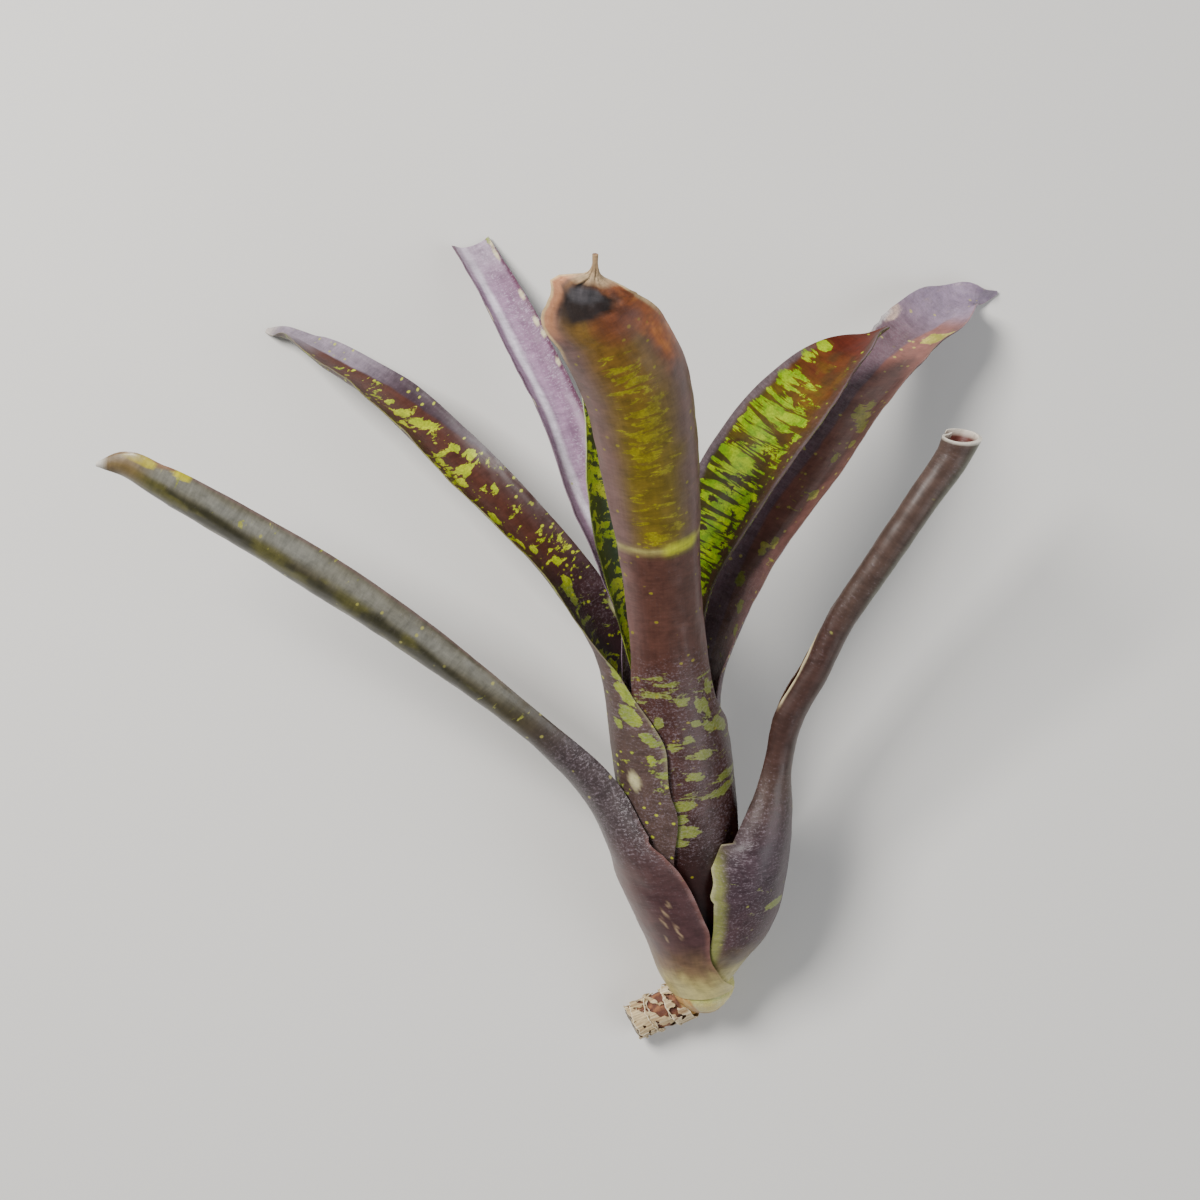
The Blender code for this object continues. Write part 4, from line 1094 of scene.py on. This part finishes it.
def paper_sleeve(name, start, end, radius, seed, holes, tears, flare):
    """A torn papery scale leaf round the runner: a sleeve with ragged ends, splits and holes."""
    turn = np.linspace(0, 2 * math.pi, SLEEVE_STEPS, endpoint=False)[None, :].repeat(SLEEVE_ROWS, 0)
    u = np.linspace(0.0, 1.0, SLEEVE_ROWS)[:, None].repeat(SLEEVE_STEPS, 1)
    ring_x, ring_y = np.cos(turn) * SLEEVE_RING, np.sin(turn) * SLEEVE_RING

    def noise(scale, kind, shift=0.0):
        return grain(ring_x * scale, ring_y * scale + shift, seed + kind)

    low = start + tears * (0.5 + 0.5 * noise(1.3, 0))
    high = end - tears * (0.5 + 0.5 * noise(1.5, 1))
    high = np.minimum(high, cut_plane(radius * np.sin(turn)) + 0.5 * noise(2, 8))
    low = np.minimum(low, high - 0.9)
    along = low + (high - low) * u
    slant = 0.22 * along + 0.35 * ring_x
    creases = grain(ring_x * 3.0 + slant, ring_y * 3.0, seed + 2)
    size = radius + flare * u**2 + 0.13 * creases + 0.05 * noise(6, 3, along)
    size = size + 0.45 * smooth(0.8, 1.0, u) * np.abs(noise(2, 4))
    rim = RUNNER_SIDE * np.cos(turn)[..., None] + RUNNER_UP * np.sin(turn)[..., None]
    middle = RUNNER_START + RUNNER_WAY * along[..., None]
    outer = middle + rim * size[..., None]
    inner = middle + rim * (size - PAPER_THICKNESS)[..., None]
    windows = grain(ring_x * 0.75 + 0.2 * along, ring_y * 0.75 + 0.35 * along, seed + 5, 2)
    windows = windows + 0.25 * noise(3, 9, along)
    keep = (windows < holes) | (np.abs(u - 0.5) > 0.45)
    keep = keep[:-1] & keep[1:] & np.roll(keep[:-1], -1, 1) & np.roll(keep[1:], -1, 1)
    fibres = smooth(-0.3, 0.5, noise(7, 6, 0.25 * along))
    tint = mix(rgb(192, 170, 128), rgb(138, 104, 68), 0.6 * fibres)
    tint = mix(tint, rgb(214, 200, 168), smooth(0.0, 0.6, creases))
    tint = mix(tint, rgb(232, 220, 190), 0.8 * smooth(0.06, 0.0, np.minimum(u, 1 - u)))
    tint = mix(tint, rgb(120, 76, 44), 0.7 * smooth(0.3, 0.75, noise(1.7, 7, 0.4 * along)))
    dark = mix(tint, rgb(96, 62, 40), 0.5)
    place = np.stack([along, turn * radius, np.full_like(turn, seed)], -1)
    layers = {
        "tint": np.concatenate([tint.reshape(-1, 3), dark.reshape(-1, 3)]),
        "place": np.concatenate([place.reshape(-1, 3)] * 2),
    }
    both = np.concatenate([outer.reshape(-1, 3), inner.reshape(-1, 3)])
    return mesh_object(name, both, shell_faces(keep, closed=True), layers, 60.0)


def stem_material():
    n = Nodes("stem_skin")
    place = n.attribute("place")
    bark = n.split(n.attribute("marks"))[0]
    grit = n.noise(place, 4, 0.7, scale=2.6)
    fine = n.noise(place, 3, 0.6, scale=7)
    tone = n.ramp(grit, 0.3, 0.7, 0.8, 1.14) + n.ramp(fine, 0.3, 0.7, -0.08, 0.08)
    colour = n.blend(n.attribute("tint", "Color"), tone, 1, "MULTIPLY")
    n.shader.inputs["Subsurface Weight"].default_value = 0.08
    n.shader.inputs["Subsurface Radius"].default_value = (1.0, 0.6, 0.3)
    n.shader.inputs["Subsurface Scale"].default_value = 0.0008
    rough = n.ramp(grit, 0.3, 0.7, 0.4, 0.5) + bark * 0.3
    return n.finish(colour, rough, grit * (bark * 0.8 + 0.2), 0.00025, 0.7)


def paper_material():
    n = Nodes("paper_skin")
    place = n.attribute("place")
    veins = n.noise(n.scaled(place, 0.35, 3.2), 3, 0.6)
    grit = n.noise(n.scaled(place, 1.6, 1.6), 4, 0.7)
    tone = n.ramp(veins, 0.3, 0.7, 0.72, 1.14) + n.ramp(grit, 0.3, 0.7, -0.1, 0.08)
    colour = n.blend(n.attribute("tint", "Color"), tone, 1, "MULTIPLY")
    return n.finish(colour, n.ramp(grit, 0.2, 0.8, 0.62, 0.82), veins + grit, 0.00015, 0.7)


# Each bract's start and end along the runner, radius, seed, share of windows, depth of tears and flare
BRACTS = {
    "bract_collar": (5.0, 10.6, 5.25, 301, 0.45, 0.9, 0.0),
    "bract_upper": (9.6, 16.2, 4.62, 311, 0.1, 1.6, 0.2),
    "bract_middle": (13.6, 20.2, 4.42, 321, 0.18, 1.8, 0.2),
    "bract_lower": (16.8, 22.4, 4.24, 331, 0.24, 1.4, 0.15),
}

stem = build_stem()
stem.data.materials.append(stem_material())
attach(stem, "root")
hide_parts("stem")
paper = paper_material()
for bract_name, numbers in BRACTS.items():
    bract = paper_sleeve(bract_name + "_fine", *numbers)
    bract.data.materials.append(paper)
    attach(bract, "root")
    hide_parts(bract_name)


# Floor, light and camera
FLOOR_HALF = 3.0
SENSOR_WIDTH = 36.0


def lay_floor():
    """A plain pale sheet under the plant."""
    mesh = bpy.data.meshes.new("floor")
    corners = [(x * FLOOR_HALF, y * FLOOR_HALF, 0) for x, y in ((-1, -1), (1, -1), (1, 1), (-1, 1))]
    mesh.from_pydata(corners, [], [(0, 1, 2, 3)])
    floor = bpy.data.objects.new("floor", mesh)
    bpy.context.scene.collection.objects.link(floor)
    n = Nodes("floor_sheet")
    soft = n.noise(Value(n, n.node("TexCoord").outputs["Object"]), 2, 0.55, scale=3)
    n.put(n.shader.inputs["Base Color"], n.blend(rgb(206, 204, 200), rgb(214, 212, 208), soft))
    n.shader.inputs["Roughness"].default_value = 0.7
    mesh.materials.append(n.material)


def aim(thing, place, target):
    thing.location = place
    way = Vector(target) - Vector(place)
    thing.rotation_euler = way.to_track_quat("-Z", "Y").to_euler()


def light(name, place, size, watts, colour):
    lamp = bpy.data.lights.new(name, "AREA")
    lamp.shape = "RECTANGLE"
    lamp.size, lamp.size_y = size
    lamp.energy = watts
    lamp.color = colour
    made = bpy.data.objects.new(name, lamp)
    bpy.context.scene.collection.objects.link(made)
    aim(made, place, (0.0, 0.0, 0.03))


def set_studio():
    world = bpy.data.worlds.new("studio")
    world.use_nodes = True
    sky = world.node_tree.nodes["Background"].inputs
    sky["Color"].default_value = (0.92, 0.95, 1.0, 1.0)
    sky["Strength"].default_value = 0.25
    bpy.context.scene.world = world
    light("key", (-0.42, 0.34, 0.72), (0.32, 0.32), 13.5, (1.0, 0.98, 0.95))
    light("fill", (0.65, -0.25, 0.6), (0.6, 0.6), 4.2, (0.95, 0.97, 1.0))


def set_camera():
    """Straight above the plant, as the photo was taken."""
    lens = bpy.data.cameras.new("camera")
    lens.lens = CAMERA_LENS
    lens.sensor_width = SENSOR_WIDTH
    lens.clip_start = 0.01
    camera = bpy.data.objects.new("camera", lens)
    bpy.context.scene.collection.objects.link(camera)
    camera.location = (np.array((0.0, 0.0, CAMERA_HEIGHT)) + PLACE) * MM
    bpy.context.scene.camera = camera


lay_floor()
set_studio()
set_camera()
